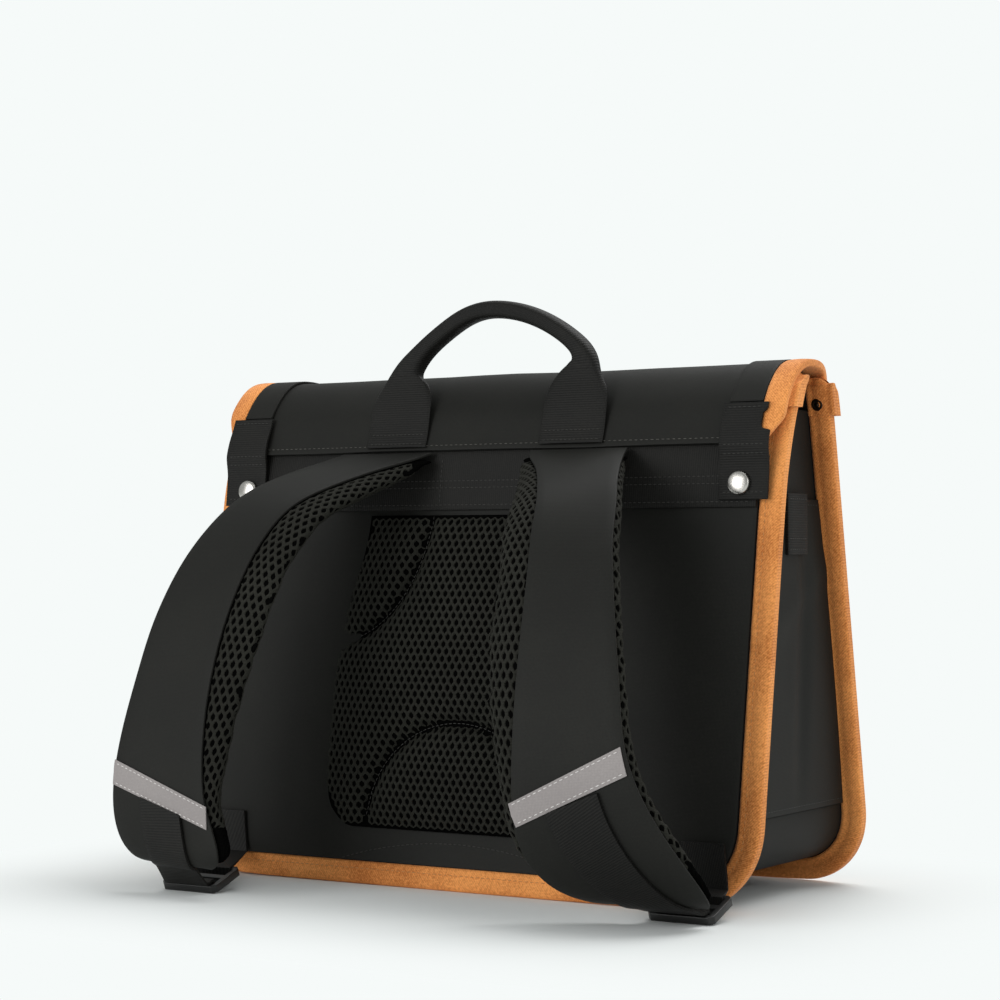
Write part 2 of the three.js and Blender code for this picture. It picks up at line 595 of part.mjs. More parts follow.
// Edges of the facing as shares: x of half the width, out of the reach, up of the root's height. Border is a
// share of the mesh border's width and body of the thickness.
const strapShares = [
  { outer: [0.51, -0.285, 1], inner: [0.175, -0.285, 1], border: 0.2, body: 0.42 },
  { outer: [0.53, -0.18, 0.986], inner: [0.205, -0.18, 0.984], border: 0.35, body: 0.5 },
  { outer: [0.575, 0.02, 0.96], inner: [0.285, 0, 0.957], border: 0.6, body: 0.8 },
  { outer: [0.635, 0.26, 0.92], inner: [0.37, 0.25, 0.916], border: 0.8, body: 0.95 },
  { outer: [0.68, 0.42, 0.873], inner: [0.43, 0.45, 0.872], border: 0.95, body: 1 },
  { outer: [0.72, 0.6, 0.797], inner: [0.463, 0.61, 0.805], border: 1, body: 1 },
  { outer: [0.757, 0.72, 0.717], inner: [0.49, 0.73, 0.725], border: 1, body: 1 },
  { outer: [0.797, 0.83, 0.605], inner: [0.513, 0.87, 0.6], border: 1, body: 1 },
  { outer: [0.826, 0.89, 0.5], inner: [0.525, 0.965, 0.47], border: 0.85, body: 1 },
  { outer: [0.847, 0.935, 0.415], inner: [0.53, 1.01, 0.355], border: 0.6, body: 1 },
  { outer: [0.87, 0.95, 0.345], inner: [0.532, 1.01, 0.23], border: 0.35, body: 1 },
  { outer: [0.915, 0.91, 0.255], inner: [0.535, 0.95, 0.165], border: 0.25, body: 0.95 },
  { outer: [0.965, 0.81, 0.17], inner: [0.555, 0.86, 0.11], border: 0.2, body: 0.9 },
  { outer: [1, 0.68, 0.1], inner: [0.6, 0.75, 0.066], border: 0.15, body: 0.8 },
  { outer: [1.005, 0.56, 0.055], inner: [0.67, 0.63, 0.042], border: 0.1, body: 0.65 },
  { outer: [0.985, 0.485, 0.04], inner: [0.735, 0.53, 0.038], border: 0.06, body: 0.5 },
];

const lastRow = strapShares.length - 1;

// How each strap's lower end lies from the table's place, towards the middle and away from the bag.
const strapEnds = {
  left: {
    inward: LEFT_SWING_IN,
    outward: LEFT_SWING_OUT,
    upward: LEFT_SWING_UP,
    reflectorAt: REFLECTOR_AT_LEFT,
  },
  right: { inward: 0, outward: 0, upward: 0, reflectorAt: REFLECTOR_AT_RIGHT },
};

// A function from a row of the table, whole or not, to the strap's station there, as on the wearer's right.
function strapLine({ inward, outward, upward }) {
  const swing = (row) => smooth((row / lastRow - SWING_AT) / (1 - SWING_AT));
  const curve = (edge) => new THREE.CatmullRomCurve3(strapShares.map((share, row) => point(
    share[edge][0] * HALF_WIDTH - inward * swing(row),
    -share[edge][1] * STRAP_REACH - outward * swing(row),
    share[edge][2] * STRAP_ROOT + upward * swing(row),
  )));
  const [outerEdge, innerEdge] = [curve('outer'), curve('inner')];
  return (row) => {
    const share = clamp01(row / lastRow);
    const outer = outerEdge.getPoint(share);
    const inner = innerEdge.getPoint(share);
    const along = outerEdge.getTangent(share).add(innerEdge.getTangent(share)).normalize();
    const across = outer.clone().sub(inner);
    const width = across.length();
    across.normalize();
    const low = Math.min(Math.floor(row), lastRow - 1);
    const blend = (name) => mix(strapShares[low][name], strapShares[low + 1][name], row - low);
    return {
      middle: outer.add(inner).multiplyScalar(0.5),
      across,
      out: along.cross(across).normalize(),
      width,
      border: blend('border') * STRAP_BORDER,
      body: blend('body') * STRAP_THICKNESS,
    };
  };
}

const fromStation = ({ middle, across, out }, side, rise) =>
  middle.clone().addScaledVector(across, side).addScaledVector(out, rise);

const strapRows = steps(2 * lastRow).map((share) => share * lastRow);

// The foam pad: the facing covers its outer side, and its mesh border slopes down beside the facing.
function strapPad(line) {
  const section = ({ width, border, body }) => {
    const half = width / 2;
    const top = -FACING_THICKNESS - FIT_GAP;
    return [
      [half - STRAP_FLANK / 2, top], [half / 3, top], [-half / 3, top], [-half, top],
      [-half - border * 0.55, top - body * 0.14], [-half - border, -body * 0.45],
      [-half - border * 0.9, -body * 0.8], [-half - border * 0.3, -body],
      [0, -body * 1.04], [half * 0.8, -body * 0.98],
      [half + STRAP_FLANK * 0.75, -body * 0.72], [half + STRAP_FLANK, -body * 0.4],
    ];
  };
  const stations = strapRows.map(line);
  const rings = stations.map((s) => section(s).map(([side, rise]) => fromStation(s, side, rise)));
  const flat = (s) => section(s).map(([side, rise]) => new THREE.Vector2(side, rise));
  return loft(rings, flat(stations[0]), flat(stations.at(-1)));
}

// A strip lying on the strap's face at the given rows.
function strapStrip(stations, halfWidth, low, high) {
  const face = (rise) => (column, s) => fromStation(s, halfWidth(s) * (2 * column - 1), rise);
  return slab(steps(2), stations, face(high), face(low));
}

const strapFacing = (line) => strapStrip(strapRows.map(line), (s) => s.width / 2, -FACING_THICKNESS, 0);

// The rows at the reflector's middle and half its width away.
function reflectorRows(line, at) {
  const middle = at * lastRow;
  const rowLength = line(middle - 0.5).middle.distanceTo(line(middle + 0.5).middle);
  return [middle, REFLECTOR_WIDTH / 2 / rowLength];
}

function reflectorBand(line, at) {
  const [middle, reach] = reflectorRows(line, at);
  const stations = [middle - reach, middle, middle + reach].map(line);
  return strapStrip(stations, (s) => s.width / 2 + FIT_GAP * 2, FIT_GAP, FIT_GAP + REFLECTOR_THICKNESS);
}

// Adjuster: a flat frame with two slots, its near bar on the floor

const adjusterTilt = THREE.MathUtils.degToRad(ADJUSTER_TILT);
const adjusterHeight =
  (Math.sin(adjusterTilt) * ADJUSTER_LENGTH + Math.cos(adjusterTilt) * ADJUSTER_THICKNESS) / 2;
const slotLength = (ADJUSTER_LENGTH - 3 * ADJUSTER_BAR) / 2;

// A function to a place in the adjuster: along it from the middle, towards the bag, and up from its plane.
const adjusterPlace = ({ inward, outward }) => (along, up) => point(
  ADJUSTER_SIDE - inward,
  -ADJUSTER_OUT - outward + along * Math.cos(adjusterTilt) - up * Math.sin(adjusterTilt),
  adjusterHeight + along * Math.sin(adjusterTilt) + up * Math.cos(adjusterTilt),
);
const adjusterAcross = point(1, 0, 0);
const adjusterUp = point(0, -Math.sin(adjusterTilt), Math.cos(adjusterTilt));
const adjusterBack = point(0, -Math.cos(adjusterTilt), -Math.sin(adjusterTilt));
const adjusterClear = ADJUSTER_THICKNESS / 2 + FIT_GAP; // from its middle plane to the webbing on it
const outerBar = (ADJUSTER_LENGTH - ADJUSTER_BAR) / 2; // from its middle to the middle of either outer bar

function adjuster() {
  const [halfX, halfY, cut] = [ADJUSTER_WIDTH / 2, ADJUSTER_LENGTH / 2, ADJUSTER_CHAMFER];
  const frame = new THREE.Shape([
    [-halfX + cut, -halfY], [halfX - cut, -halfY], [halfX, -halfY + cut], [halfX, halfY - cut],
    [halfX - cut, halfY], [-halfX + cut, halfY], [-halfX, halfY - cut], [-halfX, -halfY + cut],
  ].map(([x, y]) => new THREE.Vector2(x, y)));
  const slotHalf = STRAP_WEBBING_WIDTH / 2 + FIT_GAP * 2;
  for (const side of [-1, 1]) {
    const middle = (side * (ADJUSTER_BAR + slotLength)) / 2;
    const [low, high] = [middle - slotLength / 2, middle + slotLength / 2];
    const slot = [[-slotHalf, low], [slotHalf, low], [slotHalf, high], [-slotHalf, high]];
    frame.holes.push(new THREE.Path(slot.map(([x, y]) => new THREE.Vector2(x, y))));
  }
  const geometry = new THREE.ExtrudeGeometry(frame, { depth: ADJUSTER_THICKNESS, bevelEnabled: false });
  geometry.translate(0, 0, -ADJUSTER_THICKNESS / 2);
  geometry.rotateX(adjusterTilt);
  return geometry;
}

// A strip of webbing through given middles. Each row holds its centre, half its width and its outward side.
function webbingStrip(rows) {
  const face = (offset) => (column, { centre, half, across, out }) =>
    centre.clone().addScaledVector(across, half * (2 * column - 1)).addScaledVector(out, offset);
  return slab(steps(1), rows, face(WEBBING), face(0));
}

// The webbing on the strap, from under the reflector to the strap's end and round the adjuster's near bar.
function strapWebbing(line, end) {
  const half = STRAP_WEBBING_WIDTH / 2;
  const [middle, reach] = reflectorRows(line, end.reflectorAt);
  const onStrap = steps(12).map((share) => {
    const s = line(mix(middle + reach * 1.05, lastRow, share));
    const centre = fromStation(s, 0, FIT_GAP);
    return { centre, half: Math.min(half, s.width / 2), across: s.across, out: s.out };
  });
  const place = adjusterPlace(end);
  const across = adjusterAcross;
  const down = adjusterUp.clone().negate();
  const overBar = {
    centre: place(-outerBar - ADJUSTER_BAR * 0.6, adjusterClear + WEBBING),
    half,
    across,
    out: down,
  };
  const turn = {
    centre: place(-outerBar + ADJUSTER_BAR / 2 + FIT_GAP + WEBBING, adjusterClear + WEBBING),
    half,
    across,
    out: down.clone().add(adjusterBack).normalize(),
  };
  const inSlot = {
    centre: place(-outerBar + ADJUSTER_BAR / 2 + FIT_GAP + WEBBING, -ADJUSTER_THICKNESS / 3),
    half,
    across,
    out: adjusterBack,
  };
  return webbingStrip([...onStrap, overBar, turn, inSlot]);
}

// The anchor: from the adjuster's far bar up over the bound edge onto the padded cover's corner.
function anchorTab(end) {
  const half = STRAP_WEBBING_WIDTH / 2;
  const place = adjusterPlace(end);
  const across = adjusterAcross;
  const slotSide = outerBar - ADJUSTER_BAR / 2 - FIT_GAP;
  const diagonal = adjusterUp.clone().add(adjusterBack).normalize();
  const inSlot = { centre: place(slotSide, -ADJUSTER_THICKNESS / 3), half, across, out: adjusterBack };
  const turn = { centre: place(slotSide, adjusterClear), half, across, out: diagonal };
  const outside = outerBar + ADJUSTER_BAR * 0.4;
  const overBar = { centre: place(outside, adjusterClear), half, across, out: adjusterUp };
  const rise = (x, z) => Math.max(CHANNEL, coverHeight(x, z), coverHeight(x - half, z));
  const face = (x, z) => backFace(z) - rise(x, z) - FIT_GAP;
  const foot = BINDING_DEPTH + FIT_GAP * 4;
  const risers = [foot, foot + ANCHOR_STEP, mix(foot, ANCHOR_TOP, 0.6), ANCHOR_TOP].map((z, i) => ({
    centre: point(ANCHOR_SIDE, face(ANCHOR_SIDE, z) - (i ? 0 : WEBBING), z),
    half: half * (1 - ANCHOR_TAPER * i),
    across,
    out: point(0, -1, 0),
  }));
  return webbingStrip([inSlot, turn, overBar, ...risers]);
}

// Closures: a webbing strip down the flap and a plain clasp below its edge

const closureEnd = FLAP_BOTTOM - CLOSURE_DROP;

function closureStrip() {
  const y = (z) => frontFace(z) + FLAP_FRONT_STANDOFF + CHANNEL + FIT_GAP;
  const face = (offset) => (column, z) => point(CLOSURE_WEBBING * (column - 0.5), y(z) + offset, z);
  return slab(steps(1), [closureEnd, CLOSURE_TOP], face(WEBBING), face(0));
}

function clasp() {
  const top = closureEnd - FIT_GAP;
  const rows = [
    { z: top - CLASP_HEIGHT, round: CLASP_ROUND },
    { z: top - CLASP_HEIGHT + CLASP_ROUND, round: 0 },
    { z: top - CLASP_ROUND, round: 0 },
    { z: top, round: CLASP_ROUND },
  ];
  const face = (reach) => (column, { z, round }) => {
    const x = (CLASP_WIDTH / 2 - round) * (2 * column - 1);
    return point(x, frontFace(z) + FIT_GAP + Math.max(0, reach - round), z);
  };
  return slab(steps(1), rows, face(CLASP_THICKNESS), face(0));
}

// The assembly

const bag = new THREE.Group();

function add(name, geometry, material) {
  const part = new THREE.Mesh(geometry, material);
  part.name = name;
  bag.add(part);
  return part;
}

// The geometry on the wearer's right, or its mirror image with its triangles turned round again.
function onSide(geometry, side) {
  if (side > 0) return geometry;
  const index = geometry.getIndex();
  for (let i = 0; i < index.count; i += 3) {
    const second = index.getX(i + 1);
    index.setX(i + 1, index.getX(i + 2));
    index.setX(i + 2, second);
  }
  return geometry.scale(-1, 1, 1);
}

add('back_panel', boundSheet(backPanel), fabric);
add('front_panel', boundSheet(frontPanel), fabric);
add('back_binding', binding(backPanel), tan);
add('front_binding', binding(frontPanel), tan);
add('base_gusset', gussetWall(edgeRows(gussetShape, undefined, BASE_SEAM), true), fabric);
add('padded_cover', paddedCover(), fabric);
add('mesh_pad', meshPad(), mesh);
add('yoke_band', yokeBand(), webbing);
add('flap', boundSheet(flap), fabric);
add('flap_binding', binding(flap), tan);
add('handle', handle(), webbing);

// Lays a stud on a surface that faces the given way.
function addStud(name, radius, rise, material, at, facing) {
  const part = add(name, stud(radius, rise), material);
  part.position.copy(at);
  part.quaternion.setFromUnitVectors(point(0, 1, 0), facing.normalize());
}

for (const [name, side] of SIDES) {
  const paired = (piece, geometry, material) => add(`${piece}_${name}`, onSide(geometry, side), material);
  paired('side_gusset', gussetWall(edgeRows(gussetShape, BASE_SEAM + FIT_GAP, GUSSET_TOP), false), fabric);
  paired('side_pocket', sidePocket(), fabric);
  paired('side_tab', sideTab(), webbing);
  paired('back_corner_cap', cornerCap(backPanel), tan);
  paired('front_corner_cap', cornerCap(frontPanel), tan);
  paired('flap_edge', flapEdgeStrip(), fabric);
  paired('corner_tab', cornerTab(), webbing);

  const end = strapEnds[name];
  const line = strapLine(end);
  paired('strap_pad', strapPad(line), mesh);
  paired('strap_facing', strapFacing(line), fabric);
  paired('reflector', reflectorBand(line, end.reflectorAt), reflector);
  paired('strap_webbing', strapWebbing(line, end), webbing);
  paired('anchor_tab', anchorTab(end), webbing);
  const buckle = add(`adjuster_${name}`, adjuster(), plastic);
  buckle.position.copy(adjusterPlace(end)(0, 0)).setX(side * (ADJUSTER_SIDE - end.inward));

  const tabRise = tabFlatTop - TAB_BOTTOM;
  const [tabHigh, tabLow] = [tabOnYoke(tabFlatTop), tabOnYoke(TAB_BOTTOM)];
  const snapX = side * (TAB_EDGE - TAB_WIDTH / 2);
  const snapY = mix(tabLow, tabHigh, (SNAP_HEIGHT - TAB_BOTTOM) / tabRise) - FIT_GAP;
  const snapAt = point(snapX, snapY, SNAP_HEIGHT);
  const snapFacing = point(0, -tabRise, tabHigh - tabLow);
  addStud(`snap_${name}`, SNAP_RADIUS, SNAP_RISE, steel, snapAt, snapFacing);

  const rivetZ = PANEL_TOP - CAP_HEIGHT * 0.7;
  const [lower, upper] = [rivetZ - RIVET_RADIUS, rivetZ + RIVET_RADIUS].map(frontFace);
  const rivetY = (lower + upper) / 2 - PANEL_THICKNESS - CHANNEL - FIT_GAP * 2 - CAP_TAPE;
  const rivetX = side * (HALF_WIDTH - BINDING_DEPTH / 2);
  const rivetFacing = point(0, -2 * RIVET_RADIUS, upper - lower);
  const rivetAt = point(rivetX, rivetY, rivetZ);
  addStud(`corner_rivet_${name}`, RIVET_RADIUS, RIVET_RISE, darkMetal, rivetAt, rivetFacing);

  const strip = paired('closure_strip', closureStrip(), webbing);
  strip.position.x = (side * CLOSURE_SPACING) / 2;
  const catchPlate = paired('closure_clasp', clasp(), plastic);
  catchPlate.position.x = (side * CLOSURE_SPACING) / 2;
}

// The origin is on the floor, under the middle of everything.
const bounds = new THREE.Box3().setFromObject(bag);
bag.position.y = -(bounds.min.y + bounds.max.y) / 2;

export default bag;
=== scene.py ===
"""A school ransel in black coated cloth, spacer mesh and webbing, bound in tan twill tape."""

import logging
import math
from collections.abc import Callable, Iterable, Sequence
from dataclasses import dataclass
from enum import Enum
from typing import Any

import bpy
import numpy as np
from mathutils import Matrix, Vector
from mathutils.bvhtree import BVHTree


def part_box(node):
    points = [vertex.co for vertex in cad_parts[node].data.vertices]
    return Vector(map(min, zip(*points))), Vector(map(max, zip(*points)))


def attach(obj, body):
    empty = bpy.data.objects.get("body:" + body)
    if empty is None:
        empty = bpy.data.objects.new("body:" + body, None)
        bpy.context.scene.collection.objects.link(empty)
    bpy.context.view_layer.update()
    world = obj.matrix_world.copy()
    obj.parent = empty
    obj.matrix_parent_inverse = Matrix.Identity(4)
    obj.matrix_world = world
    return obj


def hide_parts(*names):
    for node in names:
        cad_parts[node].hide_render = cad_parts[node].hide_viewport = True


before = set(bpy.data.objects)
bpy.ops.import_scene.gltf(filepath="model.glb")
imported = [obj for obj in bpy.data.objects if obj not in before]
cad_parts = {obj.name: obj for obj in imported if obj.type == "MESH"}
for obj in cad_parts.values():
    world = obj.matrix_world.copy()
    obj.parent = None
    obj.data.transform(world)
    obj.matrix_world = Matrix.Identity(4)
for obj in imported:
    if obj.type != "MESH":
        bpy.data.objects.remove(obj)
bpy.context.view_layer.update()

log = logging.getLogger("ransel")
Colour = tuple[float, float, float, float]
MM = 0.001
BODY = "root"
BACKDROP = "#f6faf9"
SIDES = (("left", -1), ("right", 1))
INTO_BACK = Vector((0, 1, 0))
REACH = 0.3  # How far outside a surface a ray starts, in metres.
FILLING_FRAMES = 20
CLOTH_CREASE = 46  # Edges sharper than this many degrees stay sharp on cloth,
TAPE_CREASE = 40  # and on tape,
TAPE_SHADE = 75  # whose shading is smooth across edges up to this angle.
SOIL_PER_METRE = 22.0  # The dye varies in patches of about 45 mm
FLECKS_PER_METRE = 900.0  # and in flecks of about 1 mm.


# Shared modelling steps


def smooth(value: np.ndarray) -> np.ndarray:
    """Returns eased shares, 0 below 0 and 1 above 1."""
    share = np.clip(value, 0, 1)
    return share * share * (3 - 2 * share)


def select_only(*pieces: bpy.types.Object) -> None:
    """Selects these objects and nothing else, and makes the first one active."""
    bpy.ops.object.select_all(action="DESELECT")
    for piece in pieces:
        piece.select_set(True)
    bpy.context.view_layer.objects.active = pieces[0]


def modify(piece: bpy.types.Object, kind: str, **settings: Any) -> None:
    """Adds a modifier and applies it.

    Args:
        piece: The object to change.
        kind: Blender's name for the modifier type.
        **settings: Values for the modifier.
    """
    select_only(piece)
    modifier = piece.modifiers.new(kind.lower(), kind)
    for name, value in settings.items():
        setattr(modifier, name, value)
    bpy.ops.object.modifier_apply(modifier=modifier.name)


def subdivide(piece: bpy.types.Object, levels: int, simple: bool = False) -> None:
    """Subdivides every face, along a smooth surface or in its own plane."""
    kind = "SIMPLE" if simple else "CATMULL_CLARK"
    modify(piece, "SUBSURF", levels=levels, render_levels=levels, subdivision_type=kind)


def crease_sharp_edges(piece: bpy.types.Object, degrees: float) -> None:
    """Keeps edges sharper than this angle sharp when the piece is subdivided."""
    select_only(piece)
    bpy.ops.object.mode_set(mode="EDIT")
    bpy.ops.mesh.select_mode(type="EDGE")
    bpy.ops.mesh.select_all(action="DESELECT")
    bpy.ops.mesh.edges_select_sharp(sharpness=math.radians(degrees))
    bpy.ops.transform.edge_crease(value=1.0)
    bpy.ops.mesh.select_all(action="DESELECT")
    bpy.ops.object.mode_set(mode="OBJECT")


def round_edges(piece: bpy.types.Object, width: float, segments: int = 2, degrees: float = 50) -> None:
    """Rounds the sharp edges that are left, and shades the piece smoothly."""
    modify(
        piece,
        "BEVEL",
        width=width,
        segments=segments,
        limit_method="ANGLE",
        angle_limit=math.radians(degrees),
        use_clamp_overlap=True,
    )
    shade(piece)


def edit_all(piece: bpy.types.Object, *steps: Callable[[], Any]) -> None:
    """Takes steps in edit mode, each with the whole piece selected."""
    select_only(piece)
    bpy.ops.object.mode_set(mode="EDIT")
    for step in steps:
        bpy.ops.mesh.select_all(action="SELECT")
        step()
    bpy.ops.object.mode_set(mode="OBJECT")


def face_outwards() -> None:
    """Turns the selected faces outwards."""
    bpy.ops.mesh.normals_make_consistent(inside=False)


def join_flat_faces() -> None:
    """Joins the selected faces that lie in one plane."""
    bpy.ops.mesh.dissolve_limited(angle_limit=math.radians(2))


def shade(piece: bpy.types.Object, degrees: float = 60) -> None:
    """Shades smoothly across edges up to this angle."""
    select_only(piece)
    bpy.ops.object.shade_smooth_by_angle(angle=math.radians(degrees))


def copy_node(node: str, name: str) -> bpy.types.Object:
    """Copies a CAD node as a new piece of quads.

    Args:
        node: The CAD node's name.
        name: The new piece's name.

    Returns:
        The new object, with its doubles merged and no material.
    """
    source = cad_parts[node]
    piece = bpy.data.objects.new(name, source.data.copy())
    piece.data.name = name
    piece.data.materials.clear()
    bpy.context.scene.collection.objects.link(piece)
    select_only(piece)
    bpy.ops.object.mode_set(mode="EDIT")
    bpy.ops.mesh.select_all(action="SELECT")
    bpy.ops.mesh.remove_doubles(threshold=1e-5)
    bpy.ops.mesh.tris_convert_to_quads(face_threshold=math.radians(60), shape_threshold=math.radians(70))
    bpy.ops.mesh.select_all(action="DESELECT")
    bpy.ops.object.mode_set(mode="OBJECT")
    return piece


def corners(piece: bpy.types.Object) -> np.ndarray:
    """Returns the piece's vertices as rows of x, y and z."""
    co = np.zeros(len(piece.data.vertices) * 3)
    piece.data.vertices.foreach_get("co", co)
    return co.reshape(-1, 3)


def set_corners(piece: bpy.types.Object, co: np.ndarray) -> None:
    """Moves the piece's vertices to these rows of x, y and z."""
    piece.data.vertices.foreach_set("co", co.ravel())
    piece.data.update()


def normals_of(piece: bpy.types.Object) -> np.ndarray:
    """Returns the normals of the piece's vertices as rows of x, y and z."""
    normals = np.zeros(len(piece.data.vertices) * 3)
    piece.data.vertices.foreach_get("normal", normals)
    return normals.reshape(-1, 3)


def reshape(piece: bpy.types.Object, move: Callable[[np.ndarray, np.ndarray], np.ndarray]) -> None:
    """Moves the vertices by a rule that takes their places and normals and returns their shifts."""
    piece.data.update()
    co = corners(piece)
    set_corners(piece, co + move(co, normals_of(piece)))


def map_surface(piece: bpy.types.Object, rule: Callable[[np.ndarray], tuple[np.ndarray, np.ndarray]]) -> None:
    """Lays a UV map in metres on the piece, for its weave.

    Args:
        piece: The finished mesh.
        rule: Gives the vertices' distances along and across the cloth.
    """
    layer = piece.data.uv_layers.new(name="weave")
    loops = np.zeros(len(piece.data.loops), dtype=int)
    piece.data.loops.foreach_get("vertex_index", loops)
    places = np.stack(rule(corners(piece)), axis=1)
    layer.data.foreach_set("uv", places[loops].ravel())


def across_and_up(co: np.ndarray) -> tuple[np.ndarray, np.ndarray]:
    """Returns distances on an upright cloth: across the bag and up."""
    return co[:, 0], co[:, 2]


def up_and_across(co: np.ndarray) -> tuple[np.ndarray, np.ndarray]:
    """Returns distances on a hanging strip: up it and across it."""
    return co[:, 2], co[:, 0]


def long_axes(co: np.ndarray) -> tuple[np.ndarray, np.ndarray]:
    """Returns distances along a strip's own length and width."""
    _, _, axes = np.linalg.svd(co[::7] - co.mean(0), full_matrices=False)
    return co @ axes[0], co @ axes[1]


def tree_of(*pieces: bpy.types.Object) -> BVHTree:
    """Returns a search tree over the faces of these meshes."""
    points: list[Vector] = []
    faces: list[tuple[int, ...]] = []
    for piece in pieces:
        first = len(points)
        points.extend(v.co.copy() for v in piece.data.vertices)
        faces.extend(tuple(first + i for i in face.vertices) for face in piece.data.polygons)
    return BVHTree.FromPolygons(points, faces)


def new_mesh(name: str, points: Iterable, faces: Iterable) -> bpy.types.Object:
    """Makes an object of these points and faces, at the origin."""
    mesh = bpy.data.meshes.new(name)
    mesh.from_pydata([tuple(p) for p in points], [], [tuple(f) for f in faces])
    mesh.validate()
    piece = bpy.data.objects.new(name, mesh)
    bpy.context.scene.collection.objects.link(piece)
    return piece


def inflate(
    piece: bpy.types.Object,
    held: Callable[[np.ndarray, np.ndarray], np.ndarray],
    pressure: float,
    cap: float,
) -> None:
    """Fills a closed cloth piece with air for a moment, so that it swells and wrinkles, and keeps the result.

    Args:
        piece: The closed mesh.
        held: Says for each place and normal whether it stays where it is.
        pressure: How hard the filling pushes.
        cap: The furthest that a point may move, in metres.
    """
    rest = corners(piece)
    group = piece.vertex_groups.new(name="held")
    group.add([int(i) for i in np.flatnonzero(held(rest, normals_of(piece)))], 1.0, "REPLACE")
    cloth = piece.modifiers.new("filling", "CLOTH")
    cloth.settings.vertex_group_mass = group.name
    cloth.settings.use_pressure = True
    cloth.settings.uniform_pressure_force = pressure
    cloth.settings.effector_weights.gravity = 0
    cloth.settings.quality = 5
    cloth.collision_settings.use_collision = False
    cloth.point_cache.frame_start = 1
    cloth.point_cache.frame_end = FILLING_FRAMES
    for step in range(1, FILLING_FRAMES + 1):
        bpy.context.scene.frame_set(step)
    select_only(piece)
    bpy.ops.object.modifier_apply(modifier=cloth.name)
    bpy.context.scene.frame_set(1)
    moved = corners(piece) - rest
    length = np.maximum(np.linalg.norm(moved, axis=1, keepdims=True), 1e-9)
    set_corners(piece, rest + moved * np.minimum(1.0, cap / length))
    piece.vertex_groups.clear()


def row(start: Sequence[float], end: Sequence[float], count: int = 16) -> list[Vector]:
    """Returns points spread evenly from one place to another."""
    return [Vector(start).lerp(Vector(end), k / (count - 1)) for k in range(count)]


def laid_on(surface: BVHTree, points: Iterable[Vector], aim: Vector) -> list[Vector]:
    """Drops points onto a surface along a direction, and leaves out those that miss it."""
    hits = [surface.ray_cast(point - aim * REACH, aim)[0] for point in points]
    return [hit for hit in hits if hit is not None]


# Finishes


def linear(hex_colour: str) -> Colour:
    """Turns an sRGB hex colour into the linear colour that shaders take."""
    shares = [int(hex_colour[i:i + 2], 16) / 255 for i in (1, 3, 5)]
    return (*[c / 12.92 if c <= 0.04045 else ((c + 0.055) / 1.055) ** 2.4 for c in shares], 1.0)


def add_node(
    tree: bpy.types.NodeTree,
    kind: str,
    settings: dict[str, Any] | None = None,
    inputs: dict[Any, Any] | None = None,
) -> bpy.types.Node:
    """Adds a shader node with its settings, values and links.

    Args:
        tree: The material's node tree.
        kind: The node's type, without its ShaderNode prefix.
        settings: Values of the node's own properties.
        inputs: For each input socket, a value or the output socket to link to it.

    Returns:
        The new node.
    """
    node = tree.nodes.new(f"ShaderNode{kind}")
    for name, value in (settings or {}).items():
        setattr(node, name, value)
    for key, value in (inputs or {}).items():
        if isinstance(value, bpy.types.NodeSocket):
            tree.links.new(value, node.inputs[key])
        else:
            node.inputs[key].default_value = value
    return node


def new_material(name: str) -> tuple[bpy.types.Material, bpy.types.NodeTree]:
    """Makes a material with no nodes, and returns it with its node tree."""
    material = bpy.data.materials.new(name)
    material.use_nodes = True
    material.node_tree.nodes.clear()
    return material, material.node_tree


class Weave(Enum):
    """How threads cross in a cloth."""

    PLAIN = "plain"
    RIBBED = "ribbed"
    TWILL = "twill"


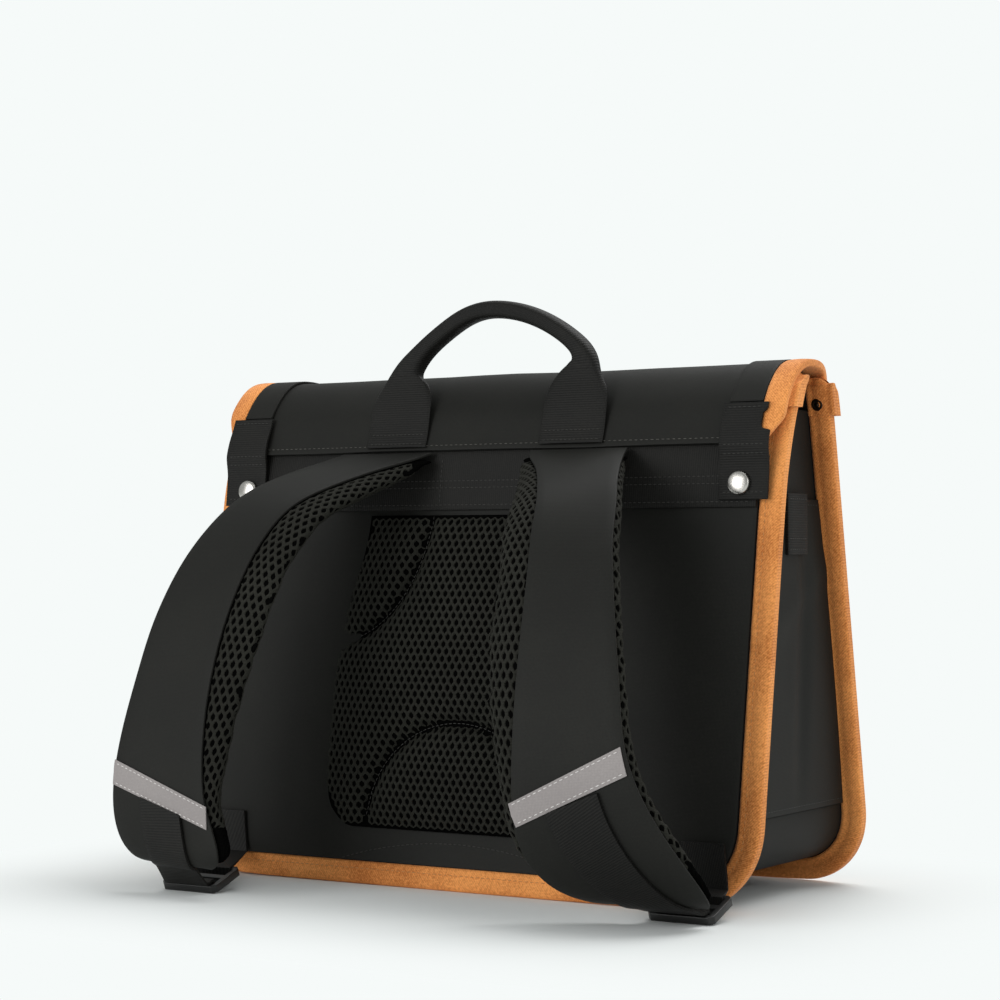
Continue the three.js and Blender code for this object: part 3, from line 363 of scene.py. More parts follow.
@dataclass(frozen=True)
class WovenFinish:
    """A dyed cloth whose threads show as a fine relief and a fine change of colour: painted shade between the
    threads, a painted highlight on their tops, and the dye's own unevenness.

    Attributes:
        name: The real material.
        light: Colour of the threads' tops, as sRGB hex, lightened as a painted highlight.
        dark: Colour between the threads, darkened as painted shade.
        weave: How the threads cross.
        pitch: Distance between threads along the cloth, in metres.
        relief: Height of the threads, in metres.
        roughness: Roughness of the fibres or their coating.
        sheen: Strength of the soft light on the fibres' ends.
        mottle: How much the dye varies over the cloth, as a share.
        gloss: Specular level, low because the fibres shade one another.
        bump: Strength of the relief.
    """

    name: str
    light: str
    dark: str
    weave: Weave
    pitch: float
    relief: float
    roughness: float
    sheen: float = 0.0
    mottle: float = 0.12
    gloss: float = 0.25
    bump: float = 0.6

    def build(self) -> bpy.types.Material:
        """Makes the material.

        Returns:
            The material, which reads the piece's UV map named weave.
        """
        material, tree = new_material(self.name)
        threads = self.threads(tree)
        place = add_node(tree, "TexCoord").outputs["Object"]
        uneven = []
        for scale, detail in ((SOIL_PER_METRE, 4.0), (FLECKS_PER_METRE, 2.0)):
            noise = add_node(tree, "TexNoise", {}, {"Vector": place, "Scale": scale, "Detail": detail})
            spread = {"From Min": 0.3, "From Max": 0.7, "To Min": -self.mottle, "To Max": self.mottle}
            uneven.append(add_node(tree, "MapRange", {}, {"Value": noise.outputs["Fac"]} | spread))
        flecked = add_node(tree, "Math", {"operation": "ADD"},
                           {0: uneven[0].outputs[0], 1: uneven[1].outputs[0]})
        mixed = add_node(tree, "Math", {"operation": "ADD", "use_clamp": True},
                         {0: threads, 1: flecked.outputs[0]})
        # Painted shade between the threads and a painted highlight on their tops, with the dye's patches and
        # flecks added.
        colour = add_node(tree, "Mix", {"data_type": "RGBA"},
                          {"Factor": mixed.outputs[0], 6: linear(self.dark), 7: linear(self.light)})
        relief = add_node(tree, "Bump", {},
                          {"Height": threads, "Distance": self.relief, "Strength": self.bump})
        shader = add_node(tree, "BsdfPrincipled", {}, {
            "Base Color": colour.outputs[2],
            "Roughness": self.roughness,
            "Specular IOR Level": self.gloss,
            "Sheen Weight": self.sheen,
            "Sheen Roughness": 0.5,
            "Normal": relief.outputs[0],
        })
        add_node(tree, "OutputMaterial", {}, {"Surface": shader.outputs[0]})
        return material

    def threads(self, tree: bpy.types.NodeTree) -> bpy.types.NodeSocket:
        """Makes the pattern of threads.

        Args:
            tree: The material's node tree.

        Returns:
            A socket from 0, between threads, to 1, on a thread's top.
        """
        layer = add_node(tree, "UVMap", {"uv_map": "weave"})
        split = add_node(tree, "SeparateXYZ", {}, {0: layer.outputs[0]})
        along, across = split.outputs[0], split.outputs[1]
        turn = 2 * math.pi / self.pitch

        def wave(value: bpy.types.NodeSocket, factor: float) -> bpy.types.NodeSocket:
            """Returns a wave from 0 to 1 of the value times the factor."""
            angle = add_node(tree, "Math", {"operation": "MULTIPLY"}, {0: value, 1: factor})
            sine = add_node(tree, "Math", {"operation": "SINE"}, {0: angle.outputs[0]})
            return add_node(tree, "Math", {"operation": "MULTIPLY_ADD"},
                            {0: sine.outputs[0], 1: 0.5, 2: 0.5}).outputs[0]

        if self.weave is Weave.RIBBED:
            fine, rib = wave(across, turn * 1.4), wave(along, turn)
            return add_node(tree, "Mix", {"data_type": "FLOAT"}, {"Factor": 0.22, 2: rib, 3: fine}).outputs[0]
        if self.weave is Weave.TWILL:
            slanted = add_node(tree, "Math", {"operation": "ADD"}, {0: along, 1: across})
            crossed = add_node(tree, "Math", {"operation": "SUBTRACT"}, {0: along, 1: across})
            ridge = wave(slanted.outputs[0], turn * 0.75)
            knots = wave(crossed.outputs[0], turn * 1.5)
            mixed = add_node(tree, "Mix", {"data_type": "FLOAT"}, {"Factor": 0.5, 2: ridge, 3: knots})
            return add_node(tree, "Math", {"operation": "MULTIPLY_ADD"},
                            {0: mixed.outputs[0], 1: 0.6, 2: 0.22}).outputs[0]
        warp, weft = wave(along, turn), wave(across, turn)
        return add_node(tree, "Math", {"operation": "MULTIPLY"}, {0: warp, 1: weft}).outputs[0]


@dataclass(frozen=True)
class SolidFinish:
    """A plain moulded, plated or spun material with a fine unevenness.

    Attributes:
        name: The real material.
        colour: Its colour, as sRGB hex.
        roughness: Roughness where it is clean.
        wear: How much the roughness varies.
        metallic: 1 for a metal.
        grain: Size of the unevenness, in metres.
        relief: Depth of the unevenness, in metres.
    """

    name: str
    colour: str
    roughness: float
    wear: float
    metallic: float
    grain: float
    relief: float

    def build(self) -> bpy.types.Material:
        """Makes the material.

        Returns:
            The material, which reads the place on the object.
        """
        material, tree = new_material(self.name)
        place = add_node(tree, "TexCoord").outputs["Object"]
        grain = add_node(tree, "TexNoise", {}, {"Vector": place, "Scale": 1 / self.grain, "Detail": 3.0})
        least, most = self.roughness - self.wear, self.roughness + self.wear
        rough = add_node(tree, "MapRange", {},
                         {"Value": grain.outputs["Fac"], "To Min": least, "To Max": most})
        relief = add_node(tree, "Bump", {},
                          {"Height": grain.outputs["Fac"], "Distance": self.relief, "Strength": 0.5})
        shader = add_node(tree, "BsdfPrincipled", {}, {
            "Base Color": linear(self.colour),
            "Metallic": self.metallic,
            "Roughness": rough.outputs[0],
            "Normal": relief.outputs[0],
        })
        add_node(tree, "OutputMaterial", {}, {"Surface": shader.outputs[0]})
        return material


@dataclass(frozen=True)
class Finishes:
    """All the materials of the bag, each built once."""

    # Polyester canvas with a coating on its back: an almost flat, faintly satin black with a hair-fine weave.
    cloth: bpy.types.Material
    # Spacer mesh: matte knitted threads round holes that look into the foam.
    net: bpy.types.Material
    # The foam and backing that show through the holes and along the sewn grooves, painted near black as the
    # shade in them.
    foam: bpy.types.Material
    # Polypropylene webbing: ribs across its length catch the light as fine lines.
    webbing: bpy.types.Material
    # Polyester twill tape: warm tan with slanted ridges.
    tape: bpy.types.Material
    # Glass-bead reflective tape: flat satin grey.
    reflective: bpy.types.Material
    # Moulded nylon: black, with a soft gloss.
    nylon: bpy.types.Material
    # Nickel-plated brass: a bright mirror with tiny scratches.
    nickel: bpy.types.Material
    # Blackened steel: dark, with a dull shine.
    steel: bpy.types.Material
    # Bonded nylon thread in black, tan, white and grey: short matte dashes along the seams.
    black_thread: bpy.types.Material
    tan_thread: bpy.types.Material
    white_thread: bpy.types.Material
    grey_thread: bpy.types.Material

    @classmethod
    def build(cls) -> "Finishes":
        """Makes every material once."""
        def thread(colour_name: str, colour: str, roughness: float = 0.6) -> bpy.types.Material:
            """Makes the material of one colour of nylon thread."""
            name = f"{colour_name}_nylon_thread"
            return SolidFinish(name, colour, roughness, 0.1, 0.0, 0.6 * MM, 0.05 * MM).build()

        return cls(
            # In each woven finish the first colour is the threads' tops with a painted highlight, and the
            # second is the gaps with painted shade.
            # The real threads lie 0.35 mm apart, too fine to show, so they are drawn 0.7 mm apart.
            cloth=WovenFinish("coated_polyester_canvas", "#22221e", "#181816", Weave.PLAIN,
                              0.7 * MM, 0.06 * MM, 0.6, mottle=0.22, gloss=0.16).build(),
            net=WovenFinish("knitted_spacer_mesh", "#31312c", "#20201c", Weave.PLAIN,
                            0.8 * MM, 0.1 * MM, 0.8, mottle=0.22, gloss=0.1).build(),
            # The foam's near-black colours are painted shade, for the dark holes and the grooves.
            foam=WovenFinish("black_foam_with_painted_shade", "#0b0b0a", "#050505", Weave.PLAIN,
                             1.0 * MM, 0.1 * MM, 1.0, mottle=0.2, gloss=0.0).build(),
            webbing=WovenFinish("ribbed_polypropylene_webbing", "#1c1b18", "#070706", Weave.RIBBED,
                                1.35 * MM, 0.25 * MM, 0.6, mottle=0.2, gloss=0.2).build(),
            tape=WovenFinish("twill_binding_tape", "#f6a55c", "#b2662f", Weave.TWILL,
                             1.2 * MM, 0.2 * MM, 0.85, sheen=0.1, mottle=0.34, gloss=0.15).build(),
            reflective=WovenFinish("reflective_tape", "#9a9492", "#8c8685", Weave.PLAIN,
                                   0.8 * MM, 0.03 * MM, 0.5, mottle=0.3, gloss=0.3).build(),
            nylon=SolidFinish("moulded_nylon", "#131312", 0.42, 0.08, 0.0, 1.5 * MM, 0.03 * MM).build(),
            nickel=SolidFinish("nickel_plated_brass", "#bcb9b4", 0.27, 0.06, 1.0,
                               2.5 * MM, 0.004 * MM).build(),
            steel=SolidFinish("blackened_steel", "#3a322b", 0.34, 0.1, 1.0, 1.5 * MM, 0.02 * MM).build(),
            black_thread=thread("black", "#302f2c"),
            tan_thread=thread("tan", "#c58a4f", 0.7),
            white_thread=thread("white", "#d4d0ce"),
            grey_thread=thread("grey", "#55534e"),
        )


def dress(
    piece: bpy.types.Object,
    material: bpy.types.Material,
    slot: str,
    *nodes: str,
) -> bpy.types.Object:
    """Gives a finished piece its material, and fastens it to the bag.

    Args:
        piece: The finished mesh.
        material: Its finish.
        slot: The record's material slot. Not used.
        *nodes: The CAD nodes that it stands for.

    Returns:
        The same piece.
    """
    piece.data.materials.clear()
    piece.data.materials.append(material)
    if nodes:
        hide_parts(*nodes)
    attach(piece, BODY)
    log.info("%s: %d faces", piece.name, len(piece.data.polygons))
    return piece


# Stitches and mesh, which are laid on finished surfaces


@dataclass
class Thread:
    """Rows of stitches sunk lightly into what they hold.

    Attributes:
        pitch: From one stitch to the next.
        length: Of the thread that shows in one stitch.
        thickness: Of the thread.
    """

    pitch: float = 3.6 * MM
    length: float = 2.5 * MM
    thickness: float = 0.5 * MM

    def stitch(self) -> tuple[np.ndarray, list[tuple[int, ...]]]:
        """Models one stitch as a short rounded thread along X.

        Returns:
            Its points and its faces.
        """
        bpy.ops.object.select_all(action="DESELECT")
        bpy.ops.mesh.primitive_uv_sphere_add(segments=6, ring_count=4, radius=0.5)
        bead = bpy.context.object
        size = (self.length, self.thickness, self.thickness)
        edit_all(
            bead,
            lambda: bpy.ops.transform.rotate(value=math.pi / 2, orient_axis="Y", center_override=(0, 0, 0)),
            lambda: bpy.ops.transform.resize(value=size),
        )
        points = corners(bead)
        faces = [tuple(face.vertices) for face in bead.data.polygons]
        bpy.data.objects.remove(bead)
        return points, faces

    def sew(self, name: str, paths: Sequence[Sequence[Vector]], surface: BVHTree) -> bpy.types.Object:
        """Lays stitches along paths.

        Args:
            name: The new piece's name.
            paths: Lines of points near the surface.
            surface: What the stitches lie on.

        Returns:
            One object that holds all the stitches.
        """
        base, faces = self.stitch()
        points: list[np.ndarray] = []
        cells: list[tuple[int, ...]] = []
        for path in paths:
            lengths = [(b - a).length for a, b in zip(path, path[1:])]
            total = sum(lengths)
            count = max(1, round(total / self.pitch))
            for k in range(count):
                rest = (k + 0.5) / count * total
                i = 0
                while i < len(lengths) - 1 and rest > lengths[i]:
                    rest -= lengths[i]
                    i += 1
                along = (path[i + 1] - path[i]).normalized()
                place = path[i].lerp(path[i + 1], rest / max(lengths[i], 1e-9))
                hit, normal, _, _ = surface.find_nearest(place)
                if hit is None:
                    continue
                side = normal.cross(along).normalized()
                along = side.cross(normal).normalized()
                turn = np.array([along, side, normal])
                first = len(points) * len(base)
                points.append(base @ turn + np.array(hit + normal * self.thickness * 0.15))
                cells.extend(tuple(first + i for i in face) for face in faces)
        piece = new_mesh(name, np.concatenate(points), cells)
        shade(piece)
        return piece


HEM = Thread(pitch=3.2 * MM, length=2.2 * MM, thickness=0.4 * MM)
WEBBING_SEAM = Thread(pitch=2.8 * MM, length=2.0 * MM, thickness=0.45 * MM)


@dataclass
class SpacerNet:
    """The knitted face of spacer mesh: strands round holes in staggered rows.

    Attributes:
        pitch: Between the middles of two holes in a row.
        row: Between two rows.
        hole_width: Across a hole.
        hole_height: Along a hole.
        height: Of the strands above the cloth under them.
    """

    pitch: float = 4.9 * MM
    row: float = 4.1 * MM
    hole_width: float = 3.1 * MM
    hole_height: float = 4.6 * MM
    height: float = 0.8 * MM

    def knit(
        self,
        name: str,
        size: tuple[float, float],
        place: Callable[[float, float], tuple[Vector, Vector, float] | None],
    ) -> bpy.types.Object:
        """Knits a net over a surface, cell by cell.

        Args:
            name: The new piece's name.
            size: Its reach across and up, in metres.
            place: Gives for distances across and up the place on the surface, its normal and the share of the
                strands' height there, or None where there is no net.

        Returns:
            The net, one closed strand mesh.
        """
        reach = self.row * 2 / 3
        cell = [(0, 1), (0.5, 0.5), (0.5, -0.5), (0, -1), (-0.5, -0.5), (-0.5, 0.5)]
        hole = [(u, v if u == 0 else v * 0.64) for u, v in cell]
        wide, tall = self.hole_width / self.pitch, self.hole_height / (2 * reach)
        layers = ((cell, 1, 1, 1.0), (hole, wide, tall, 0.8), (hole, wide * 0.85, tall * 0.85, 0.05),
                  (cell, 1, 1, 0.05))
        points: list[Vector] = []
        faces: list[tuple[int, ...]] = []
        found: dict[tuple[int, int, int], int | None] = {}
        rims: dict[tuple[int, int], tuple[int, int, int, int]] = {}

        def corner(u: float, v: float, rise: float) -> int | None:
            """Returns the index of the net's point at this place, or None where there is no net."""
            key = (round(u / self.pitch * 40), round(v / self.row * 40), round(rise * 100))
            if key not in found:
                spot = place(u, v)
                found[key] = None if spot is None else len(points)
                if spot is not None:
                    points.append(spot[0] + spot[1] * (self.height * (rise * spot[2] - 0.3 * (1 - spot[2]))))
            return found[key]

        for r in range(-int(size[1] / self.row / 2), int(size[1] / self.row / 2) + 1):
            for c in range(-int(size[0] / self.pitch / 2), int(size[0] / self.pitch / 2) + 1):
                u0, v0 = (c + (r % 2) / 2) * self.pitch, r * self.row
                middle = place(u0, v0)
                if middle is None or middle[2] <= 0:
                    continue
                rings = [
                    [corner(u0 + u * self.pitch * across, v0 + v * reach * up, rise) for u, v in ring]
                    for ring, across, up, rise in layers
                ]
                if any(index is None for ring in rings for index in ring):
                    continue
                top, lip, floor, base = rings
                for i in range(6):
                    j = (i + 1) % 6
                    faces.append((top[j], top[i], lip[i], lip[j]))
                    faces.append((lip[j], lip[i], floor[i], floor[j]))
                    faces.append((floor[j], floor[i], base[i], base[j]))
                    edge = (min(top[i], top[j]), max(top[i], top[j]))
                    if rims.pop(edge, None) is None:
                        rims[edge] = (top[i], top[j], base[j], base[i])
        faces.extend(rims.values())
        net = new_mesh(name, points, faces)
        edit_all(net, bpy.ops.mesh.delete_loose, face_outwards)
        shade(net, 50)
        return net


class StrapSkin:
    """The face of a strap's foam as rows across it, so that the net follows the strap.

    Attributes:
        ROWS: How many rows are read along the strap.
        ROUND: How many places are read in a row.
        PIVOT: The place, as y and z, round which the strap arches.
        GIRTH: How far a row reaches round the strap, in metres.
        CALMING: How often the rows are evened out with their neighbours.
        END: How far from the strap's ends the first and last row lie, in radians round the pivot.
    """

    ROWS = 110
    ROUND = 72
    PIVOT = (-0.04, 0.125)
    GIRTH = 0.17
    CALMING = 14
    END = 0.012

    def __init__(self, pad: bpy.types.Object, surface: BVHTree, side: int) -> None:
        """Looks at the foam from its middle line, row by row.

        Args:
            pad: The strap's foam.
            surface: Its search tree.
            side: -1 on the left and 1 on the right.
        """
        self.surface = surface
        co = corners(pad)
        angle = np.arctan2(co[:, 2] - self.PIVOT[1], self.PIVOT[0] - co[:, 1])
        places = np.linspace(-self.GIRTH / 2, self.GIRTH / 2, self.ROUND)
        rows = []
        for turn in np.linspace(angle.min() + self.END, angle.max() - self.END, self.ROWS):
            middle = Vector(co[np.abs(angle - turn) < 0.03].mean(0))
            away = Vector((0, -math.cos(turn), math.sin(turn)))
            ring = []
            for k in range(self.ROUND + 1):
                around = math.tau * (k / self.ROUND - 0.5)
                aim = Vector((side * math.sin(around), 0, 0)) - away * math.cos(around)
                ring.append(surface.ray_cast(middle, aim)[0] or middle)
            ring = np.array(ring)
            arc = np.concatenate([[0], np.cumsum(np.linalg.norm(np.diff(ring, axis=0), axis=1))])
            arc -= arc[self.ROUND // 2]
            rows.append(np.stack([np.interp(places, arc, ring[:, i]) for i in range(3)], axis=1))
        self.grid = np.array(rows)
        for _ in range(self.CALMING):
            before = np.concatenate([self.grid[:1], self.grid[:-1]])
            after = np.concatenate([self.grid[1:], self.grid[-1:]])
            self.grid = (before + self.grid + after) / 3
        inner = self.grid[:, self.ROUND // 2]
        self.runs = np.concatenate([[0], np.cumsum(np.linalg.norm(np.diff(inner, axis=0), axis=1))])
        self.runs -= self.runs[-1] / 2

    def find(self, u: float, v: float) -> tuple[Vector, Vector] | None:
        """Returns the place and the normal at a distance round the strap and along it."""
        if abs(v) >= self.runs[-1] or abs(u) >= self.GIRTH / 2:
            return None
        i = min(int(np.searchsorted(self.runs, v)), self.ROWS - 1)
        share = (v - self.runs[i - 1]) / (self.runs[i] - self.runs[i - 1])
        step = (u / self.GIRTH + 0.5) * (self.ROUND - 1)
        j = min(int(step), self.ROUND - 2)
        blend = self.grid[i - 1:i + 1, j] * (1 - step + j) + self.grid[i - 1:i + 1, j + 1] * (step - j)
        place, normal, _, _ = self.surface.find_nearest(Vector(blend[0] * (1 - share) + blend[1] * share))
        return place, normal


# The line of a sheet seen from the side, and its bound edge


class Profile:
    """The line of a sheet seen from the side of the bag, read from the middle column of its solid."""

    def __init__(self, node: str, above: float, centre: tuple[float, float]) -> None:
        """Reads the sheet.

        Args:
            node: The CAD node of the sheet.
            above: Height over which the solid's rows are read. From there to its foot the sheet is straight.
            centre: A point inside the bag, as y and z, round which the line turns.
        """
        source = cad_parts[node]
        raw = {(round(v.co.y, 5), round(v.co.z, 5)) for v in source.data.vertices if abs(v.co.x) < 1e-5}
        used = sorted(p for p in raw if p[1] > above)
        pairs = []
        while used:
            first = used.pop(0)
            partner = min(used, key=lambda p: math.dist(p, first))
            used.remove(partner)
            pairs.append(((first[0] + partner[0]) / 2, (first[1] + partner[1]) / 2))
        pairs.sort(key=lambda p: math.atan2(p[1] - centre[1], p[0] - centre[0]))
        lowest, partner = sorted(raw, key=lambda p: p[1])[:2]
        foot = ((lowest[0] + partner[0]) / 2, (lowest[1] + partner[1]) / 2)
        at_start = math.dist(pairs[0], foot) < math.dist(pairs[-1], foot)
        pairs = [foot, *pairs] if at_start else [*pairs, foot]
        if pairs[0][1] > pairs[-1][1]:
            pairs.reverse()
        self.line = np.array(pairs)
        steps = np.linalg.norm(np.diff(self.line, axis=0), axis=1)
        self.runs = np.concatenate([[0.0], np.cumsum(steps)])

    def measure(self, co: np.ndarray) -> tuple[np.ndarray, np.ndarray]:
        """Finds places on the line.

        Args:
            co: Points of the sheet or near it, as rows of x, y and z.

        Returns:
            The distances along the line, and the ways from the line to the points as rows of y and z.
        """
        places = co[:, None, 1:3]
        first, step = self.line[:-1], np.diff(self.line, axis=0)
        share = np.clip(((places - first) * step).sum(-1) / (step * step).sum(-1), 0, 1)
        off = places - first - step * share[..., None]
        i = np.linalg.norm(off, axis=-1).argmin(1)
        rows = np.arange(len(co))
        return self.runs[i] + share[rows, i] * np.diff(self.runs)[i], off[rows, i]


@dataclass
class BoundEdge:
    """Where a binding lies: a sheet's straight sides and foot with two round corners.

    Attributes:
        half: Half the sheet's width.
        corner: Radius of the two round corners.
    """

    half: float | np.ndarray
    corner: float

    def measure(self, x: np.ndarray, height: np.ndarray) -> tuple[np.ndarray, np.ndarray]:
        """Returns the distances along the edge, from its middle, and in from it."""
        side, turn = np.abs(x), self.half - self.corner
        over, under = side - turn, self.corner - height
        on_side = height >= self.corner
        along = np.where(on_side, turn + self.corner * (math.pi / 2 - 1) + height, side)
        inset = np.where(on_side, self.half - side, height)
        on_round = (over > 0) & (under > 0)
        along = np.where(on_round, turn + self.corner * (math.pi / 2 - np.arctan2(under, over)), along)
        inset = np.where(on_round, self.corner - np.hypot(over, under), inset)
        return np.copysign(along, x), inset

    def path(self, inset: float, top: float, step: float = 6 * MM) -> list[tuple[float, float]]:
        """Returns points at an inset from the edge, as x and height, from top to top."""
        turn = self.half - self.corner
        radius = self.corner - inset
        points = [(self.half - inset, z) for z in np.arange(top, self.corner, -step)]
        for k in range(9):
            angle = math.pi / 2 * k / 8
            points.append((turn + radius * math.cos(angle), self.corner - radius * math.sin(angle)))
        points.extend((x, inset) for x in np.arange(turn, 0, -step))
        return points + [(-x, z) for x, z in reversed(points)]


# The sub-assemblies


@dataclass
class SubAssembly:
    """A group of pieces that are made together.

    Attributes:
        finishes: The bag's materials.
    """

    finishes: Finishes

    def strip(
        self,
        node: str,
        material: bpy.types.Material,
        slot: str,
        rule: Callable[[np.ndarray], tuple[np.ndarray, np.ndarray]] = across_and_up,
        levels: int = 2,
        edge: float = 0.5 * MM,
        suffix: str = "cloth",
    ) -> bpy.types.Object:
        """Makes a soft, fine piece from a faceted solid.

        Args:
            node: The CAD node that it stands for.
            material: Its finish.
            slot: The record's material slot.
            rule: Gives the distances along and across the weave.
            levels: How often the surface is subdivided.
            edge: Radius of its edges.
            suffix: What the piece is, for its name.

        Returns:
            The finished piece.
        """
        piece = copy_node(node, f"{node}_{suffix}")
        crease_sharp_edges(piece, CLOTH_CREASE)
        subdivide(piece, levels)
        round_edges(piece, edge)
        map_surface(piece, rule)
        return dress(piece, material, slot, node)


    def sew(
        self,
        node: str,
        lines: Sequence[Sequence[Vector]],
        surface: BVHTree,
        thread: Thread,
        material: bpy.types.Material,
        slot: str,
    ) -> None:
        """Sews a node's stitches on a surface and dresses them.

        Args:
            node: The node that they belong to.
            lines: Rows of points near the surface.
            surface: What they lie on.
            thread: Their size and spacing.
            material: The thread's finish.
            slot: The record's material slot.
        """
        dress(thread.sew(f"{node}_stitches", lines, surface), material, slot)


@dataclass
class Shell(SubAssembly):
    """The stiff body: two bound panels, the gusset between them and what is sewn on its sides."""

    corner: float = 43 * MM
    tape_depth: float = 13 * MM
    seam: float = 9.0 * MM
    bead: float = 1.5 * MM
    flange: float = 0.7 * MM
    cap_lift: float = 3.0 * MM
    rear_cap_rise: float = 2.5 * MM
    rear_cap_lean: float = 2.0 * MM

    def build(self) -> None:
        """Builds every piece of the shell."""
        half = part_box("back_binding")[1].x
        self.edge = BoundEdge(half, self.corner)
        self.back = Profile("back_panel", 60 * MM, (0.05, 0.1))
        self.front = Profile("front_panel", 60 * MM, (0.05, 0.1))
        for node in ("back_panel", "front_panel"):
            self.strip(node, self.finishes.cloth, "cloth", levels=2)
        for node in ("base_gusset", "side_gusset_left", "side_gusset_right"):
            self.strip(node, self.finishes.cloth, "cloth", self.around, suffix="wall")
        self.side_pockets()
        self.bindings()
        self.caps()
        self.rivets()

    def around(self, co: np.ndarray) -> tuple[np.ndarray, np.ndarray]:
        """Returns the distances along the gusset and across it."""
        return self.edge.measure(co[:, 0], co[:, 2])[0], co[:, 1]

    def on_edge(self, co: np.ndarray) -> tuple[np.ndarray, np.ndarray]:
        """Returns the distances along a panel's edge and in from it."""
        return self.edge.measure(co[:, 0], co[:, 2])

    def side_pockets(self) -> None:
        """Makes the flat outer layer of each side wall, its two rows of stitches and its tab."""
        for name, side in SIDES:
            node = f"side_pocket_{name}"
            pocket = copy_node(node, f"{node}_cloth")
            subdivide(pocket, 5, simple=True)
            low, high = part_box(node)
            middle = (low.y + high.y) / 2

            def crumple(co: np.ndarray, normals: np.ndarray) -> np.ndarray:
                """Sags the pocket a little, with one upright crease and a slanting fold."""
                up = np.clip((co[:, 2] - low.z) / (high.z - low.z), 0, 1)
                room = np.sin(math.pi * up) ** 0.7
                crease = np.exp(-(((co[:, 1] - middle - 8 * MM - 10 * MM * (up - 0.5)) / (7 * MM)) ** 2))
                fold = np.exp(-(((co[:, 2] - 0.165 - (co[:, 1] - middle) * 0.5) / (9 * MM)) ** 2))
                depth = 2.4 * MM * crease - 1.2 * MM * fold - 1.2 * MM
                out = -side * depth * room * (normals[:, 0] * side > 0.3)
                return np.stack([out, out * 0, out * 0], axis=1)

            reshape(pocket, crumple)
            round_edges(pocket, 0.4 * MM)
            map_surface(pocket, lambda co: (co[:, 1], co[:, 2]))
            dress(pocket, self.finishes.cloth, "cloth", node)
            self.side_tab(name, side)
            surface = tree_of(pocket)
            ends = [
                ((high.x, low.y + 3 * MM, z), (high.x, high.y - 3 * MM, z))
                for z in (low.z + 3 * MM, high.z - 3 * MM)
            ]
            lines = [laid_on(surface, row(start, end, 30), Vector((-side, 0, 0))) for start, end in ends]
            self.sew(node, lines, surface, HEM, self.finishes.black_thread, "cloth")

    def side_tab(self, name: str, side: int) -> None:
        """Makes the webbing tab at the top of one side, with three rows of stitches."""
        node = f"side_tab_{name}"
        tab = self.strip(node, self.finishes.webbing, "webbing", lambda co: (co[:, 2], co[:, 1]),
                         suffix="webbing")
        low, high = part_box(node)
        surface = tree_of(tab)
        ends = [
            ((high.x, low.y + 2 * MM, z), (high.x, high.y - 2 * MM, z))
            for z in (low.z + 3 * MM, low.z + 9 * MM, high.z - 3 * MM)
        ]
        lines = [laid_on(surface, row(start, end), Vector((-side, 0, 0))) for start, end in ends]
        thread = Thread(pitch=2.8 * MM, length=2.0 * MM)
        self.sew(node, lines, surface, thread, self.finishes.black_thread, "webbing")

    def pad_out(self, inset: np.ndarray) -> np.ndarray:
        """Returns how far the tape stands out: a full bead outside its seam and a thin flange inside it."""
        outer = self.bead * np.sin(math.pi * np.clip(inset / self.seam, 0, 1)) ** 0.65
        share = np.clip((inset - self.seam) / (self.tape_depth - self.seam), 0, 1)
        return np.where(inset < self.seam, outer, self.flange * np.sin(math.pi * share) ** 0.6)

    def bindings(self) -> None:
        """Makes the tan bindings round both panels, with their seams."""
        for node, profile, outward in (
            ("back_binding", self.back, -1),
            ("front_binding", self.front, 1),
        ):
            piece = copy_node(node, f"{node}_tape")
            crease_sharp_edges(piece, TAPE_CREASE)
            subdivide(piece, 3)

            def puff(co: np.ndarray, normals: np.ndarray) -> np.ndarray:
                """Pads the tape's two broad faces."""
                off = profile.measure(co)[1]
                apart = np.linalg.norm(off, axis=1)
                facing = (normals[:, 1:] * off).sum(1) > 0.3 * apart
                broad = facing & (np.abs(normals[:, 1]) > 0.4)
                out = np.sign(off[:, 0]) * self.pad_out(self.on_edge(co)[1]) * broad
                return np.stack([out * 0, out, out * 0], axis=1)

            reshape(piece, puff)
            shade(piece, TAPE_SHADE)
            map_surface(piece, self.on_edge)
            dress(piece, self.finishes.tape, "tan_tape", node)
            surface = tree_of(piece)
            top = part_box(node)[1].z - 3 * MM
            path = [Vector((x, 0, z)) for x, z in self.edge.path(self.seam, top)]
            line = laid_on(surface, path, Vector((0, -outward, 0)))
            self.sew(node, [line], surface, Thread(thickness=0.6 * MM), self.finishes.tan_thread, "tan_tape")

    def caps(self) -> None:
        """Makes the folded caps over the top ends of the bindings."""
        for panel, profile in (("back", self.back), ("front", self.front)):
            more, lean = (self.rear_cap_rise, self.rear_cap_lean) if panel == "back" else (0.0, 0.0)
            for name, _ in SIDES:
                node = f"{panel}_corner_cap_{name}"
                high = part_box(node)[1]
                piece = copy_node(node, f"{node}_tape")
                crease_sharp_edges(piece, TAPE_CREASE)
                subdivide(piece, 4)

                def fold(co: np.ndarray, normals: np.ndarray) -> np.ndarray:
                    """Pads the cap, draws its lower end in and rounds its top over."""
                    off = profile.measure(co)[1]
                    apart = np.linalg.norm(off, axis=1)
                    broad = ((normals[:, 1:] * off).sum(1) > 0.3 * apart) & (np.abs(normals[:, 1]) > 0.4)
                    inset = self.edge.half - np.abs(co[:, 0])
                    out = np.sign(off[:, 0]) * self.pad_out(inset) * 0.8 * broad
                    near_top = smooth((co[:, 2] - high.z + 9 * MM) / (9 * MM))
                    out += lean * near_top - off[:, 0] * 0.55 * near_top ** 2
                    rise = 1.5 * MM * near_top * np.sqrt(np.clip(1 - (off[:, 0] / (5 * MM)) ** 2, 0, 1))
                    corner_of = np.clip(1 - inset / (7 * MM), 0, 1) ** 2
                    rise += self.cap_lift + more - 3.5 * MM * corner_of * near_top
                    return np.stack([out * 0, out, rise], axis=1)

                reshape(piece, fold)
                shade(piece, TAPE_SHADE)
                map_surface(piece, self.on_edge)
                dress(piece, self.finishes.tape, "tan_tape", node)

